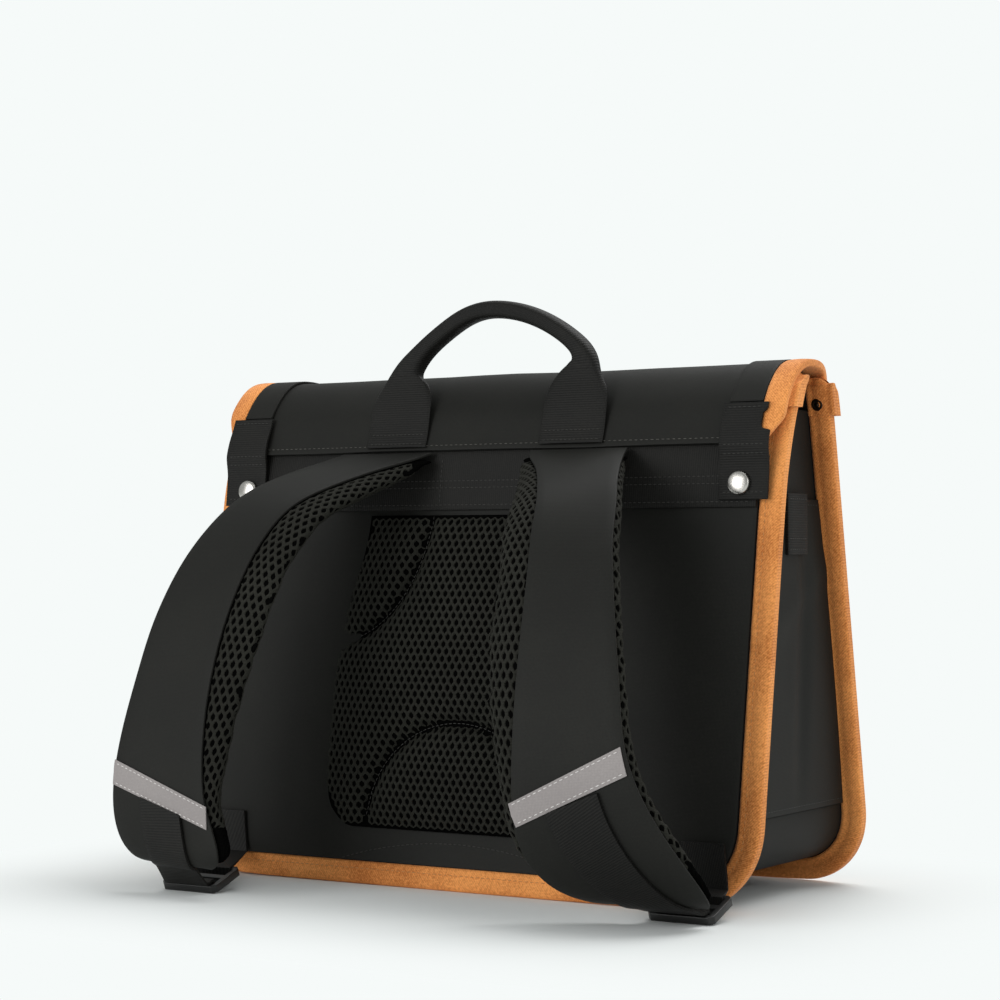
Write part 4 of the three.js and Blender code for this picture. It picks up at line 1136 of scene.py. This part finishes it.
    def rivets(self) -> None:
        """Makes the dark rivets in the front caps."""
        for name, _ in SIDES:
            stud = RoundStud(f"corner_rivet_{name}", rim=0.82, dimple=0.8)
            head = stud.model("head")
            set_corners(head, corners(head) + np.array((0, 0, self.cap_lift)))
            dress(head, self.finishes.steel, "dark_metal", f"corner_rivet_{name}")


@dataclass
class RoundStud:
    """A round metal cap: a low dome on a rounded wall, with a shallow ring in it where it is a rivet.

    Attributes:
        node: The CAD node that it stands for.
        rim: Radius of the dome's foot, as a share of the radius.
        dimple: Depth of the ring, 0 for a plain dome.
    """

    node: str
    rim: float
    dimple: float

    def model(self, suffix: str) -> bpy.types.Object:
        """Spins the cap's section round its axis.

        Args:
            suffix: What the piece is, for its name.

        Returns:
            The finished cap, in its place on the bag.
        """
        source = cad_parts[self.node]
        pts = np.array([v.co for v in source.data.vertices])
        centre = (pts.min(0) + pts.max(0)) / 2
        _, _, axes = np.linalg.svd(pts - pts.mean(0), full_matrices=False)
        axis = Vector(axes[2])
        if axis.y > 0:
            axis.negate()
        heights = (pts - centre) @ np.array(axis)
        radial = np.linalg.norm((pts - centre) - np.outer(heights, np.array(axis)), axis=1)
        radius, low, high = radial.max(), heights.min(), heights.max()
        rise = high - low
        section = [(0, 0), (1, 0), (1.0, 0.3), (0.97, 0.55), (0.92, 0.7)]
        for share in np.linspace(1, 0, 9):
            dome = 0.8 + 0.26 * (1 - share ** 2)
            section.append((self.rim * share, dome - self.dimple * 0.4 * math.sin(math.pi * share) ** 2))
        bpy.ops.object.select_all(action="DESELECT")
        bpy.ops.mesh.primitive_plane_add(size=1)
        cap = bpy.context.object
        cap.name = f"{self.node}_{suffix}"
        points = [Vector((r * radius, 0, low + h * rise)) for r, h in section]
        mesh = cap.data
        mesh.clear_geometry()
        mesh.from_pydata(points, [(i, i + 1) for i in range(len(points) - 1)], [])
        edit_all(
            cap,
            lambda: bpy.ops.mesh.spin(steps=32, angle=2 * math.pi, center=(0, 0, 0), axis=(0, 0, 1)),
            lambda: bpy.ops.mesh.remove_doubles(threshold=1e-6),
            face_outwards,
        )
        mesh.transform(axis.to_track_quat("Z", "Y").to_matrix().to_4x4())
        mesh.transform(Matrix.Translation(Vector(centre)))
        shade(cap, 40)
        return cap


@dataclass
class BackPadding(SubAssembly):
    """The padded cloth on the back, its mesh pad and the webbing across its top.

    Attributes:
        lumbar_radius: Of the sewn arc at the pad's foot, and of the two upper arcs across the bag.
        upper_stretch: How much taller than wide the upper arcs are.
        groove: Half the width that is sewn down along an arc.
        groove_depth: How far the arcs are drawn in.
        groove_spread: How far from an arc its groove reaches.
        groove_fade: How far from the pad's rim a groove is full.
        rim_reach: How far the net wraps over the pad's rim.
    """

    lumbar_radius: float = 62 * MM
    upper_stretch: float = 1.2
    groove: float = 3.2 * MM
    groove_depth: float = 3.2 * MM
    groove_spread: float = 4.6 * MM
    groove_fade: float = 14 * MM
    rim_reach: float = 7 * MM

    def build(self) -> None:
        """Builds the padding."""
        self.low, self.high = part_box("mesh_pad")
        self.cover()
        self.pad()
        self.yoke()

    def groove_distance(self, x: np.ndarray, z: np.ndarray) -> np.ndarray:
        """Returns the distances from the nearest sewn groove of the mesh pad."""
        lumbar = np.abs(np.hypot(x, z - self.low.z) - self.lumbar_radius)
        upper = np.hypot((np.abs(x) - self.high.x) * self.upper_stretch, z - self.high.z)
        return np.minimum(lumbar, np.abs(upper - self.lumbar_radius * self.upper_stretch))

    def cover(self) -> None:
        """Makes the padded cloth, which swells beside the mesh pad."""
        cover = copy_node("padded_cover", "padded_cover_cloth")
        crease_sharp_edges(cover, CLOTH_CREASE)
        subdivide(cover, 1)
        low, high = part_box("padded_cover")

        def held(co: np.ndarray, normals: np.ndarray) -> np.ndarray:
            """Says where the cloth is sewn down or backed."""
            side = np.abs(co[:, 0])
            inside = side < self.high.x + 2 * MM
            rim = (side > high.x - 5 * MM) | (co[:, 2] < low.z + 5 * MM) | (co[:, 2] > self.high.z)
            return inside | rim | (normals[:, 1] > -0.2)

        inflate(cover, held, 3.0, 3 * MM)
        subdivide(cover, 1)
        round_edges(cover, 0.5 * MM)
        map_surface(cover, across_and_up)
        dress(cover, self.finishes.cloth, "cloth", "padded_cover")
        surface = tree_of(cover)
        shares = np.linspace(-1, 1, 40)
        foot_line = [Vector((s * 82 * MM, 0, 13 * MM + 13.5 * MM * (1 - s * s))) for s in shares]
        thread = Thread(pitch=3.2 * MM, length=2.4 * MM, thickness=0.4 * MM)
        lines = [laid_on(surface, foot_line, INTO_BACK)]
        self.sew("padded_cover", lines, surface, thread, self.finishes.black_thread, "cloth")

    def pad(self) -> None:
        """Makes the mesh pad: foam lobes between sewn grooves, under a knitted net."""
        pad = copy_node("mesh_pad", "mesh_pad_foam")
        crease_sharp_edges(pad, 50)
        subdivide(pad, 1)

        def held(co: np.ndarray, normals: np.ndarray) -> np.ndarray:
            """Says where the pad is sewn down."""
            rim = (co[:, 2] < self.low.z + 3 * MM) | (co[:, 2] > self.high.z - 3 * MM)
            return rim | (self.groove_distance(co[:, 0], co[:, 2]) < self.groove) | (normals[:, 1] > -0.2)

        inflate(pad, held, 3.5, 2.5 * MM)
        subdivide(pad, 2)

        def press(co: np.ndarray, normals: np.ndarray) -> np.ndarray:
            """Draws the sewn grooves in, less so towards the pad's rim."""
            level = np.round((co[:, 2] - co[:, 2].min()) / (3 * MM)).astype(int)
            half = np.zeros(level.max() + 1)
            np.maximum.at(half, level, np.abs(co[:, 0]))
            edge = np.minimum(half[level] - np.abs(co[:, 0]), co[:, 2] - self.low.z)
            near = self.groove_distance(co[:, 0], co[:, 2]) / self.groove_spread
            depth = self.groove_depth * np.exp(-(near ** 2))
            depth *= (normals[:, 1] < -0.2) * (0.1 + 0.9 * smooth(edge / self.groove_fade))
            return np.stack([depth * 0, depth, depth * 0], axis=1)

        reshape(pad, press)
        shade(pad, 70)
        map_surface(pad, across_and_up)
        dress(pad, self.finishes.foam, "air_mesh", "mesh_pad")
        target = tree_of(pad)
        middle = (self.low + self.high) / 2
        rim_depth = self.high.y - 12 * MM

        def place(u: float, v: float) -> tuple[Vector, Vector, float] | None:
            """Finds the pad's face behind a place, or its rim beside it."""
            start = Vector((middle.x + u, self.low.y - REACH, middle.z + v))
            hit, normal, _, _ = target.ray_cast(start, INTO_BACK)
            if hit is not None:
                # Along the sewn grooves the net sinks under the foam, so that the near-black foam shows as a
                # line of painted shade.
                sewn = float(self.groove_distance(np.array(hit.x), np.array(hit.z)))
                return hit, normal, float(smooth(np.array((sewn - 1.3 * MM) / (1.3 * MM))))
            beside = Vector((start.x, rim_depth, start.z))
            hit, normal, _, apart = target.find_nearest(beside)
            return (hit, normal, 1.0) if apart < self.rim_reach else None

        net = SpacerNet().knit(
            "mesh_pad_net", (self.high.x - self.low.x + 8 * MM, self.high.z - self.low.z + 8 * MM), place,
        )
        map_surface(net, across_and_up)
        dress(net, self.finishes.net, "air_mesh")
        quarter = np.linspace(0, math.pi / 2, 30)
        radius = self.lumbar_radius
        arcs = [
            [Vector((radius * math.cos(2 * a), 0, self.low.z + radius * math.sin(2 * a))) for a in quarter],
        ]
        arcs.extend(
            [Vector((side * (self.high.x - radius * math.cos(a)), 0,
                     self.high.z - radius * self.upper_stretch * math.sin(a))) for a in quarter]
            for _, side in SIDES
        )
        thread = Thread(pitch=3.0 * MM, length=2.4 * MM, thickness=0.5 * MM)
        lines = [laid_on(target, arc, INTO_BACK) for arc in arcs]
        self.sew("mesh_pad", lines, target, thread, self.finishes.black_thread, "air_mesh")

    def yoke(self) -> None:
        """Makes the webbing across the back with the seam that holds the strap ends."""
        band = self.strip("yoke_band", self.finishes.webbing, "webbing", suffix="webbing")
        surface = tree_of(band)
        low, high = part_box("yoke_band")
        lines = [
            row((low.x + 4 * MM, 0, low.z + up), (high.x - 4 * MM, 0, low.z + up), 20)
            for up in (3 * MM, 13 * MM, 17 * MM)
        ]
        lines.extend(row((x, 0, low.z + 4 * MM), (x, 0, low.z + 30 * MM), 6) for x in (-28 * MM, 28 * MM))
        thread = Thread(pitch=3.0 * MM, length=2.1 * MM, thickness=0.45 * MM)
        hits = [laid_on(surface, line, INTO_BACK) for line in lines]
        self.sew("yoke_band", hits, surface, thread, self.finishes.black_thread, "webbing")


@dataclass
class Flap(SubAssembly):
    """The flap over the top, its binding, its doubled ends and the tabs that hold its rear corners.

    Attributes:
        corner: Radius of the flap's two corners at the front.
        tape_depth: How far the binding reaches in from the edge.
        tail_height: Height over which the right rear corner is drawn in.
        left_tail_height: The same on the left, where the tape ends higher up.
        tail_side: Half the width that the rear corners are drawn in to.
        press: How much thinner the tape is pressed, as a share.
        tab_width: Width of a corner tab, as a share of its solid's.
    """

    corner: float = 34 * MM
    tape_depth: float = 13 * MM
    tail_height: float = 17 * MM
    left_tail_height: float = 30 * MM
    tail_side: float = 180 * MM
    press: float = 0.2
    tab_width: float = 0.87

    def build(self) -> None:
        """Builds the flap and what is sewn to it."""
        self.profile = Profile("flap", 130 * MM, (0.05, 0.15))
        self.low, self.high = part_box("flap_binding")
        rear = [v.co.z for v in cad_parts["flap_binding"].data.vertices if v.co.y < 20 * MM]
        self.rear_end = min(rear)
        self.sheet()
        self.binding()
        self.ends()
        self.corner_tabs()

    def unrolled(self, co: np.ndarray) -> tuple[np.ndarray, np.ndarray]:
        """Returns the distances across the flap and along it."""
        return co[:, 0], self.profile.measure(co)[0]

    def tuck(self, co: np.ndarray, side: float) -> np.ndarray:
        """Returns how far the flap's rear corners are drawn in, so that they end under the corner tabs."""
        height = np.where(co[:, 0] < 0, self.left_tail_height, self.tail_height)
        tail = 1 - smooth((co[:, 2] - self.rear_end) / height)
        over = np.maximum(np.abs(co[:, 0]) - side, 0)
        return -np.sign(co[:, 0]) * over * 0.95 * tail * (co[:, 1] < self.high.y * 0.2)

    def sheet(self) -> None:
        """Makes the flap, stiff cloth with a soft waviness over its top."""
        flap = copy_node("flap", "flap_cloth")
        crease_sharp_edges(flap, CLOTH_CREASE)
        subdivide(flap, 3)
        half = self.high.x

        def sway(co: np.ndarray, _: np.ndarray) -> np.ndarray:
            """Gives the top a slight unevenness between its bound ends."""
            x, run = self.unrolled(co)
            room = np.clip(np.sin(math.pi * (x + half) / (2 * half)), 0, 1) * (co[:, 2] > 0.2)
            wave = np.sin(x * 31 + run * 9) + 0.6 * np.sin(x * 67 - run * 23 + 1)
            rise = 0.35 * MM * wave * room
            return np.stack([self.tuck(co, self.tail_side - 4 * MM), rise * 0, rise], axis=1)

        reshape(flap, sway)
        round_edges(flap, 0.4 * MM)
        map_surface(flap, self.unrolled)
        dress(flap, self.finishes.cloth, "cloth", "flap")
        surface = tree_of(flap)
        low = min(v.co.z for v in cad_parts["flap"].data.vertices if v.co.y < 20 * MM)
        seam_height = low + 3.5 * MM
        line = row((-half + 6 * MM, 0, seam_height), (half - 6 * MM, 0, seam_height), 60)
        thread = Thread(pitch=3.4 * MM, length=2.0 * MM, thickness=0.4 * MM)
        hits = [laid_on(surface, line, INTO_BACK)]
        self.sew("flap_seam", hits, surface, thread, self.finishes.grey_thread, "cloth")

    def binding(self) -> None:
        """Makes the tan binding round the flap's free edge."""
        piece = copy_node("flap_binding", "flap_binding_tape")
        crease_sharp_edges(piece, TAPE_CREASE)
        subdivide(piece, 3)
        start = corners(piece)
        runs = self.profile.measure(start)[0]
        bins = np.arange(0, runs.max() + 6 * MM, 6 * MM)
        widest = np.array([np.abs(start[np.abs(runs - b) < 8 * MM, 0]).max(initial=0.0) for b in bins])
        widest[bins < self.corner + 8 * MM] = widest[np.searchsorted(bins, self.corner + 12 * MM)]

        def on_edge(co: np.ndarray) -> tuple[np.ndarray, np.ndarray]:
            """Returns the distances along the flap's edge and in from it."""
            run = self.profile.measure(co)[0]
            return BoundEdge(np.interp(run, bins, widest), self.corner).measure(co[:, 0], run)

        def puff(co: np.ndarray, normals: np.ndarray) -> np.ndarray:
            """Presses the tape flat at its edge, pads its broad faces and draws its rear end in."""
            off = self.profile.measure(co)[1]
            apart = np.maximum(np.linalg.norm(off, axis=1), 1e-9)
            facing = ((normals[:, 1:] * off).sum(1) > 0.5 * apart) & (apart > 1.2 * MM)
            share = np.clip(on_edge(co)[1] / self.tape_depth, 0, 1)
            out = off / apart[:, None] * (0.5 * MM * np.sin(math.pi * share) ** 0.6 * facing)[:, None]
            out -= off * self.press
            return np.stack([self.tuck(co, self.tail_side), out[:, 0], out[:, 1]], axis=1)

        reshape(piece, puff)
        shade(piece, TAPE_SHADE)
        map_surface(piece, on_edge)
        dress(piece, self.finishes.tape, "tan_tape", "flap_binding")

    def ends(self) -> None:
        """Makes the doubled cloth along each end of the flap's top."""
        for name, _ in SIDES:
            self.strip(f"flap_edge_{name}", self.finishes.cloth, "cloth", self.unrolled, levels=3)

    def corner_tabs(self) -> None:
        """Makes the webbing tabs on the flap's rear corners, with their seams and snap caps."""
        for name, side in SIDES:
            node = f"corner_tab_{name}"
            tab = self.strip(node, self.finishes.webbing, "webbing", up_and_across,
                             levels=3, suffix="webbing")
            low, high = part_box(node)
            outer = max(abs(low.x), abs(high.x))

            def narrow(co: np.ndarray, _: np.ndarray) -> np.ndarray:
                """Narrows the tab, and draws its outer edge in where it crosses the end of the tape."""
                x, z = np.abs(co[:, 0]), co[:, 2]
                at_edge = smooth((x - outer + 12 * MM) / (12 * MM))
                over_tape = smooth((z - high.z + 15.5 * MM) / (1.5 * MM))
                notch = over_tape * (1 - smooth((z - high.z + 5.5 * MM) / (1.5 * MM)))
                slant = smooth((z - high.z + 16 * MM) / (15 * MM))
                pull = MM * (1.2 * slant if side < 0 else 3.0 * over_tape) + 2.5 * MM * notch * (side > 0)
                pull *= at_edge
                shift = (outer - x) * (1 - self.tab_width) - pull
                crumple = 0.5 * MM * np.sin(z * 260) * smooth((outer - 24 * MM - x) / (8 * MM))
                return np.stack([side * shift, crumple, z * 0], axis=1)

            reshape(tab, narrow)
            surface = tree_of(tab)
            lines = [
                laid_on(surface, row((low.x + 2.5 * MM, 0, z), (high.x - 2.5 * MM, 0, z), 8), INTO_BACK)
                for z in (high.z - 2.5 * MM, low.z + 30 * MM, low.z + 25 * MM, low.z + 4 * MM)
            ]
            self.sew(node, lines, surface, WEBBING_SEAM, self.finishes.black_thread, "webbing")
            cap = RoundStud(f"snap_{name}", rim=0.84, dimple=0.0)
            dress(cap.model("cap"), self.finishes.nickel, "chrome_metal", f"snap_{name}")


@dataclass
class Handle(SubAssembly):
    """The webbing handle, flat where it is sewn down and folded to a round grip above.

    Attributes:
        arch_middle: Height round which the webbing arches.
        foot_inner: From the bag's middle to where the seams on a foot start.
        foot_outer: From the bag's middle to where they end.
    """

    arch_middle: float = 297 * MM
    foot_inner: float = 41 * MM
    foot_outer: float = 78 * MM

    def along(self, co: np.ndarray) -> tuple[np.ndarray, np.ndarray]:
        """Returns the distances along the webbing and across it."""
        low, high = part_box("handle")
        x = co[:, 0] - (low.x + high.x) / 2
        rise = co[:, 2] - self.arch_middle
        turned = np.arctan2(rise, np.abs(x)) * (high.x - low.x) * 0.35
        return np.where(rise < 0, co[:, 2], self.arch_middle + turned), np.where(rise < 0, x, co[:, 1] * 2)

    def build(self) -> None:
        """Builds the handle and the seams on its feet."""
        piece = copy_node("handle", "handle_webbing")
        crease_sharp_edges(piece, 70)
        subdivide(piece, 3)
        shade(piece, 80)
        map_surface(piece, self.along)
        dress(piece, self.finishes.webbing, "webbing", "handle")
        surface = tree_of(piece)
        low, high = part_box("handle")
        ends = [
            ((side * self.foot_inner, 0, low.z + up), (side * self.foot_outer, 0, low.z + up))
            for _, side in SIDES for up in (2.5 * MM, 8 * MM)
        ]
        lines = [laid_on(surface, row(start, end, 10), INTO_BACK) for start, end in ends]
        self.sew("handle", lines, surface, WEBBING_SEAM, self.finishes.black_thread, "webbing")


# Where the corners of each reflective band lie, as x and height: top left, top right, low right and low left
# for someone who looks at the bag's back.
BAND_CORNERS = {
    "left": ((-0.1634, 0.0748), (-0.0945, 0.0520), (-0.0930, 0.0395), (-0.1636, 0.0610)),
    "right": ((0.0995, 0.0640), (0.1612, 0.0951), (0.1649, 0.0809), (0.1027, 0.0520)),
}


@dataclass
class ShoulderStrap(SubAssembly):
    """One shoulder strap: foam in mesh, a cloth facing, a reflective band, webbing and its adjuster.

    Attributes:
        name: left or right.
        side: -1 on the left and 1 on the right.
        band_lift: How far the reflective band lies off the facing, and how thick it is.
    """

    name: str = "right"
    side: int = 1
    band_lift: float = 0.6 * MM

    def build(self) -> None:
        """Builds the strap."""
        self.facing_tree = tree_of(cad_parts[f"strap_facing_{self.name}"])
        self.foam()
        self.facing()
        self.reflector()
        self.webbing_parts()
        self.buckle()

    def foam(self) -> None:
        """Makes the foam body and the knitted net on its open faces."""
        node = f"strap_pad_{self.name}"
        pad = copy_node(node, f"{node}_foam")
        modify(pad, "REMESH", mode="VOXEL", voxel_size=3.6 * MM)

        def from_facing(place: Vector) -> float:
            """Returns the distance from the facing."""
            return self.facing_tree.find_nearest(place)[3]

        def held(co: np.ndarray, _: np.ndarray) -> np.ndarray:
            """Says where the facing lies on the foam."""
            return np.array([from_facing(Vector(place)) < 3.5 * MM for place in co])

        inflate(pad, held, 4.0, 1.5 * MM)
        modify(pad, "SMOOTH", factor=0.5, iterations=2)
        subdivide(pad, 1)
        select_only(pad)
        bpy.ops.object.shade_smooth()
        map_surface(pad, across_and_up)
        dress(pad, self.finishes.foam, "air_mesh", node)
        skin = StrapSkin(pad, tree_of(pad), self.side)

        def place(u: float, v: float) -> tuple[Vector, Vector, float] | None:
            """Finds the foam's face, where the facing leaves it open."""
            found = skin.find(u, v)
            if found is None:
                return None
            share = (from_facing(found[0]) - 0.45 * MM) / (1.2 * MM)
            return found[0], found[1], min(1.0, max(0.0, share))

        knit = SpacerNet(pitch=4.7 * MM, row=4.1 * MM, hole_width=2.9 * MM, hole_height=4.5 * MM)
        net = knit.knit(f"{node}_net", (skin.GIRTH, float(skin.runs[-1] * 2)), place)
        map_surface(net, lambda co: (co[:, 0] + co[:, 1], co[:, 2]))
        dress(net, self.finishes.net, "air_mesh")

    def facing(self) -> None:
        """Makes the cloth facing."""
        self.cloth = self.strip(f"strap_facing_{self.name}", self.finishes.cloth, "cloth")

    def reflector(self) -> None:
        """Makes the reflective band across the facing, with a row of white stitches along each edge."""
        node = f"reflector_{self.name}"
        cloth = tree_of(self.cloth)
        top_left, top_right, low_right, low_left = (Vector((x, 0, z)) for x, z in BAND_CORNERS[self.name])

        def across_band(share: float, up: float) -> Vector:
            """Returns a place on the band, seen from the back, from shares of its length and width."""
            return low_left.lerp(low_right, share).lerp(top_left.lerp(top_right, share), up)

        def on_cloth(place: Vector) -> Vector:
            """Returns the place lifted just off the facing, or level with its edge where it ends."""
            hit, normal, _, _ = cloth.ray_cast(place - INTO_BACK * REACH, INTO_BACK)
            if hit is None:
                near = cloth.find_nearest(Vector((place.x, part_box(node)[0].y, place.z)))[0]
                return Vector((place.x, near.y - self.band_lift, place.z))
            return hit + normal * self.band_lift

        bpy.ops.object.select_all(action="DESELECT")
        bpy.ops.mesh.primitive_grid_add(x_subdivisions=32, y_subdivisions=6, size=1)
        band = bpy.context.object
        band.name = f"{node}_tape"
        set_corners(band, np.array([on_cloth(across_band(x + 0.5, y + 0.5)) for x, y, _ in corners(band)]))
        modify(band, "SOLIDIFY", thickness=self.band_lift, offset=0)
        edit_all(band, face_outwards)
        shade(band, 50)
        for layer in list(band.data.uv_layers):
            band.data.uv_layers.remove(layer)
        map_surface(band, across_and_up)
        dress(band, self.finishes.reflective, "reflective_tape", node)
        surface = tree_of(band)
        lines = [
            laid_on(surface, [across_band(share, up) for share in np.linspace(0.02, 0.98, 24)], INTO_BACK)
            for up in (0.11, 0.89)
        ]
        thread = Thread(pitch=3.4 * MM, length=2.3 * MM, thickness=0.6 * MM)
        self.sew(node, lines, surface, thread, self.finishes.white_thread, "reflective_tape")

    def webbing_parts(self) -> None:
        """Makes the webbing on the strap's end and the tab that anchors it to the bag."""
        for node in (f"strap_webbing_{self.name}", f"anchor_tab_{self.name}"):
            self.strip(node, self.finishes.webbing, "webbing", long_axes, levels=3, suffix="strip")

    def buckle(self) -> None:
        """Makes the moulded ladder adjuster."""
        node = f"adjuster_{self.name}"
        piece = copy_node(node, f"{node}_moulding")
        edit_all(piece, join_flat_faces)
        round_edges(piece, 0.9 * MM, segments=3, degrees=30)
        dress(piece, self.finishes.nylon, "black_plastic", node)


@dataclass
class Closures(SubAssembly):
    """The plain strips and clasps on the front."""

    def build(self) -> None:
        """Builds both closures."""
        for name, _ in SIDES:
            strip = self.strip(f"closure_strip_{name}", self.finishes.webbing, "webbing", up_and_across,
                               levels=3, suffix="webbing")
            low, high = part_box(f"closure_strip_{name}")
            surface = tree_of(strip)
            lines = [
                [Vector((x, high.y, z)) for x in np.linspace(low.x + 3 * MM, high.x - 3 * MM, 6)]
                for z in (high.z - 3 * MM, high.z - 12 * MM)
            ]
            self.sew(f"closure_strip_{name}", lines, surface, WEBBING_SEAM,
                     self.finishes.black_thread, "webbing")
            self.clasp(name)

    def clasp(self, name: str) -> None:
        """Makes one moulded clasp: a rounded body with a raised press plate."""
        node = f"closure_clasp_{name}"
        piece = copy_node(node, f"{node}_moulding")
        edit_all(piece, join_flat_faces)
        bpy.ops.object.mode_set(mode="EDIT")
        bpy.ops.mesh.select_mode(type="FACE")
        bpy.ops.mesh.select_all(action="DESELECT")
        bpy.ops.object.mode_set(mode="OBJECT")
        front = max(piece.data.polygons, key=lambda face: face.normal.y * face.area)
        front.select = True
        bpy.ops.object.mode_set(mode="EDIT")
        bpy.ops.mesh.inset(thickness=4 * MM, depth=0)
        bpy.ops.mesh.inset(thickness=0.6 * MM, depth=-0.8 * MM)
        bpy.ops.mesh.inset(thickness=0.8 * MM, depth=1.2 * MM)
        bpy.ops.object.mode_set(mode="OBJECT")
        round_edges(piece, 0.7 * MM, segments=3, degrees=30)
        dress(piece, self.finishes.nylon, "black_plastic", node)


@dataclass
class Studio:
    """The pale floor, the soft light and the camera.

    Attributes:
        eye: Where the camera stands.
        turn: Its angle from the bag's back, in degrees.
        lens: Its focal length in millimetres, on a 36 mm sensor.
        rise: How far the frame is moved up, as a share of its width.
        room_light: Strength of the even light from the studio's walls.
        paper: Colour of the floor under the bag, chosen to meet the backdrop in this light.
        footprint: Half the floor area that lies under the bag, as x, y and z.
        shade_reach: How far past that area the floor shows the bag's shade.
    """

    eye: tuple[float, float, float] = (0.7619, -1.1927, 0.1926)
    turn: float = 31.99
    lens: float = 88.58
    rise: float = 0.05207
    room_light: float = 0.5
    paper: Colour = (0.76, 0.783, 0.778, 1.0)
    footprint: tuple[float, float, float] = (0.17, 0.09, 0.0)
    shade_reach: float = 0.18

    def build(self) -> None:
        """Sets up the floor, the light and the camera."""
        bpy.context.scene.view_settings.view_transform = "Standard"
        self.floor()
        self.world()
        self.lights()
        self.camera()

    def floor(self) -> None:
        """Makes the floor, almost white and matte."""
        bpy.ops.object.select_all(action="DESELECT")
        bpy.ops.mesh.primitive_plane_add(size=40)
        floor = bpy.context.object
        floor.name = "floor"
        material, tree = new_material("studio_paper")
        near = add_node(tree, "BsdfDiffuse", {}, {"Color": self.paper})
        far = add_node(tree, "Emission", {}, {"Color": linear(BACKDROP)})
        place = add_node(tree, "TexCoord").outputs["Object"]
        side = add_node(tree, "VectorMath", {"operation": "ABSOLUTE"}, {0: place})
        past = add_node(tree, "VectorMath", {"operation": "SUBTRACT"},
                        {0: side.outputs[0], 1: self.footprint})
        past = add_node(tree, "VectorMath", {"operation": "MAXIMUM"}, {0: past.outputs[0], 1: (0, 0, 0)})
        apart = add_node(tree, "VectorMath", {"operation": "LENGTH"}, {0: past.outputs[0]})
        share = add_node(tree, "MapRange", {"interpolation_type": "SMOOTHSTEP"},
                         {"Value": apart.outputs["Value"], "From Min": 0.0, "From Max": self.shade_reach})
        shader = add_node(tree, "MixShader", {}, {0: share.outputs[0], 1: near.outputs[0], 2: far.outputs[0]})
        add_node(tree, "OutputMaterial", {}, {"Surface": shader.outputs[0]})
        floor.data.materials.append(material)

    def world(self) -> None:
        """Sets the even light of the studio's walls."""
        world = bpy.data.worlds.new("studio")
        bpy.context.scene.world = world
        world.use_nodes = True
        tree = world.node_tree
        tree.nodes.clear()
        seen = add_node(tree, "Background", {}, {"Color": linear(BACKDROP), "Strength": 1.0})
        lit = add_node(tree, "Background", {}, {"Color": linear(BACKDROP), "Strength": self.room_light})
        ray = add_node(tree, "LightPath")
        back = add_node(tree, "MixShader", {}, {0: ray.outputs["Is Camera Ray"], 1: lit.outputs[0],
                                                2: seen.outputs[0]})
        add_node(tree, "OutputWorld", {}, {"Surface": back.outputs[0]})

    def lights(self) -> None:
        """Hangs the soft boxes."""
        boxes = [
            ("top_box", (0.3, 0.8, 1.8), (0, 0, 0.15), 1.9, 33.0),
            ("key_box", (-0.9, -2.2, 0.75), (0, 0, 0.12), 1.4, 26.0),
            ("right_box", (2.2, -0.5, 0.9), (0, 0, 0.15), 1.2, 8.0),
        ]
        for name, place, aim, size, power in boxes:
            data = bpy.data.lights.new(name, "AREA")
            data.shape = "SQUARE"
            data.size = size
            data.energy = power
            light = bpy.data.objects.new(name, data)
            bpy.context.scene.collection.objects.link(light)
            light.location = place
            light.rotation_euler = (Vector(aim) - Vector(place)).to_track_quat("-Z", "Y").to_euler()

    def camera(self) -> None:
        """Stands the camera level, at the photograph's angle."""
        data = bpy.data.cameras.new("camera")
        data.lens = self.lens
        data.sensor_width = 36
        data.shift_y = self.rise
        data.clip_start = 0.01
        camera = bpy.data.objects.new("camera", data)
        bpy.context.scene.collection.objects.link(camera)
        camera.location = self.eye
        camera.rotation_euler = (math.pi / 2, 0, math.radians(self.turn))
        bpy.context.scene.camera = camera


def main() -> None:
    """Builds the bag and the studio."""
    logging.basicConfig(level=logging.INFO, format="%(name)s %(message)s")
    finishes = Finishes.build()
    Shell(finishes).build()
    BackPadding(finishes).build()
    Flap(finishes).build()
    Handle(finishes).build()
    for name, side in SIDES:
        ShoulderStrap(finishes, name=name, side=side).build()
    Closures(finishes).build()
    Studio().build()


if __name__ == "__main__":
    main()
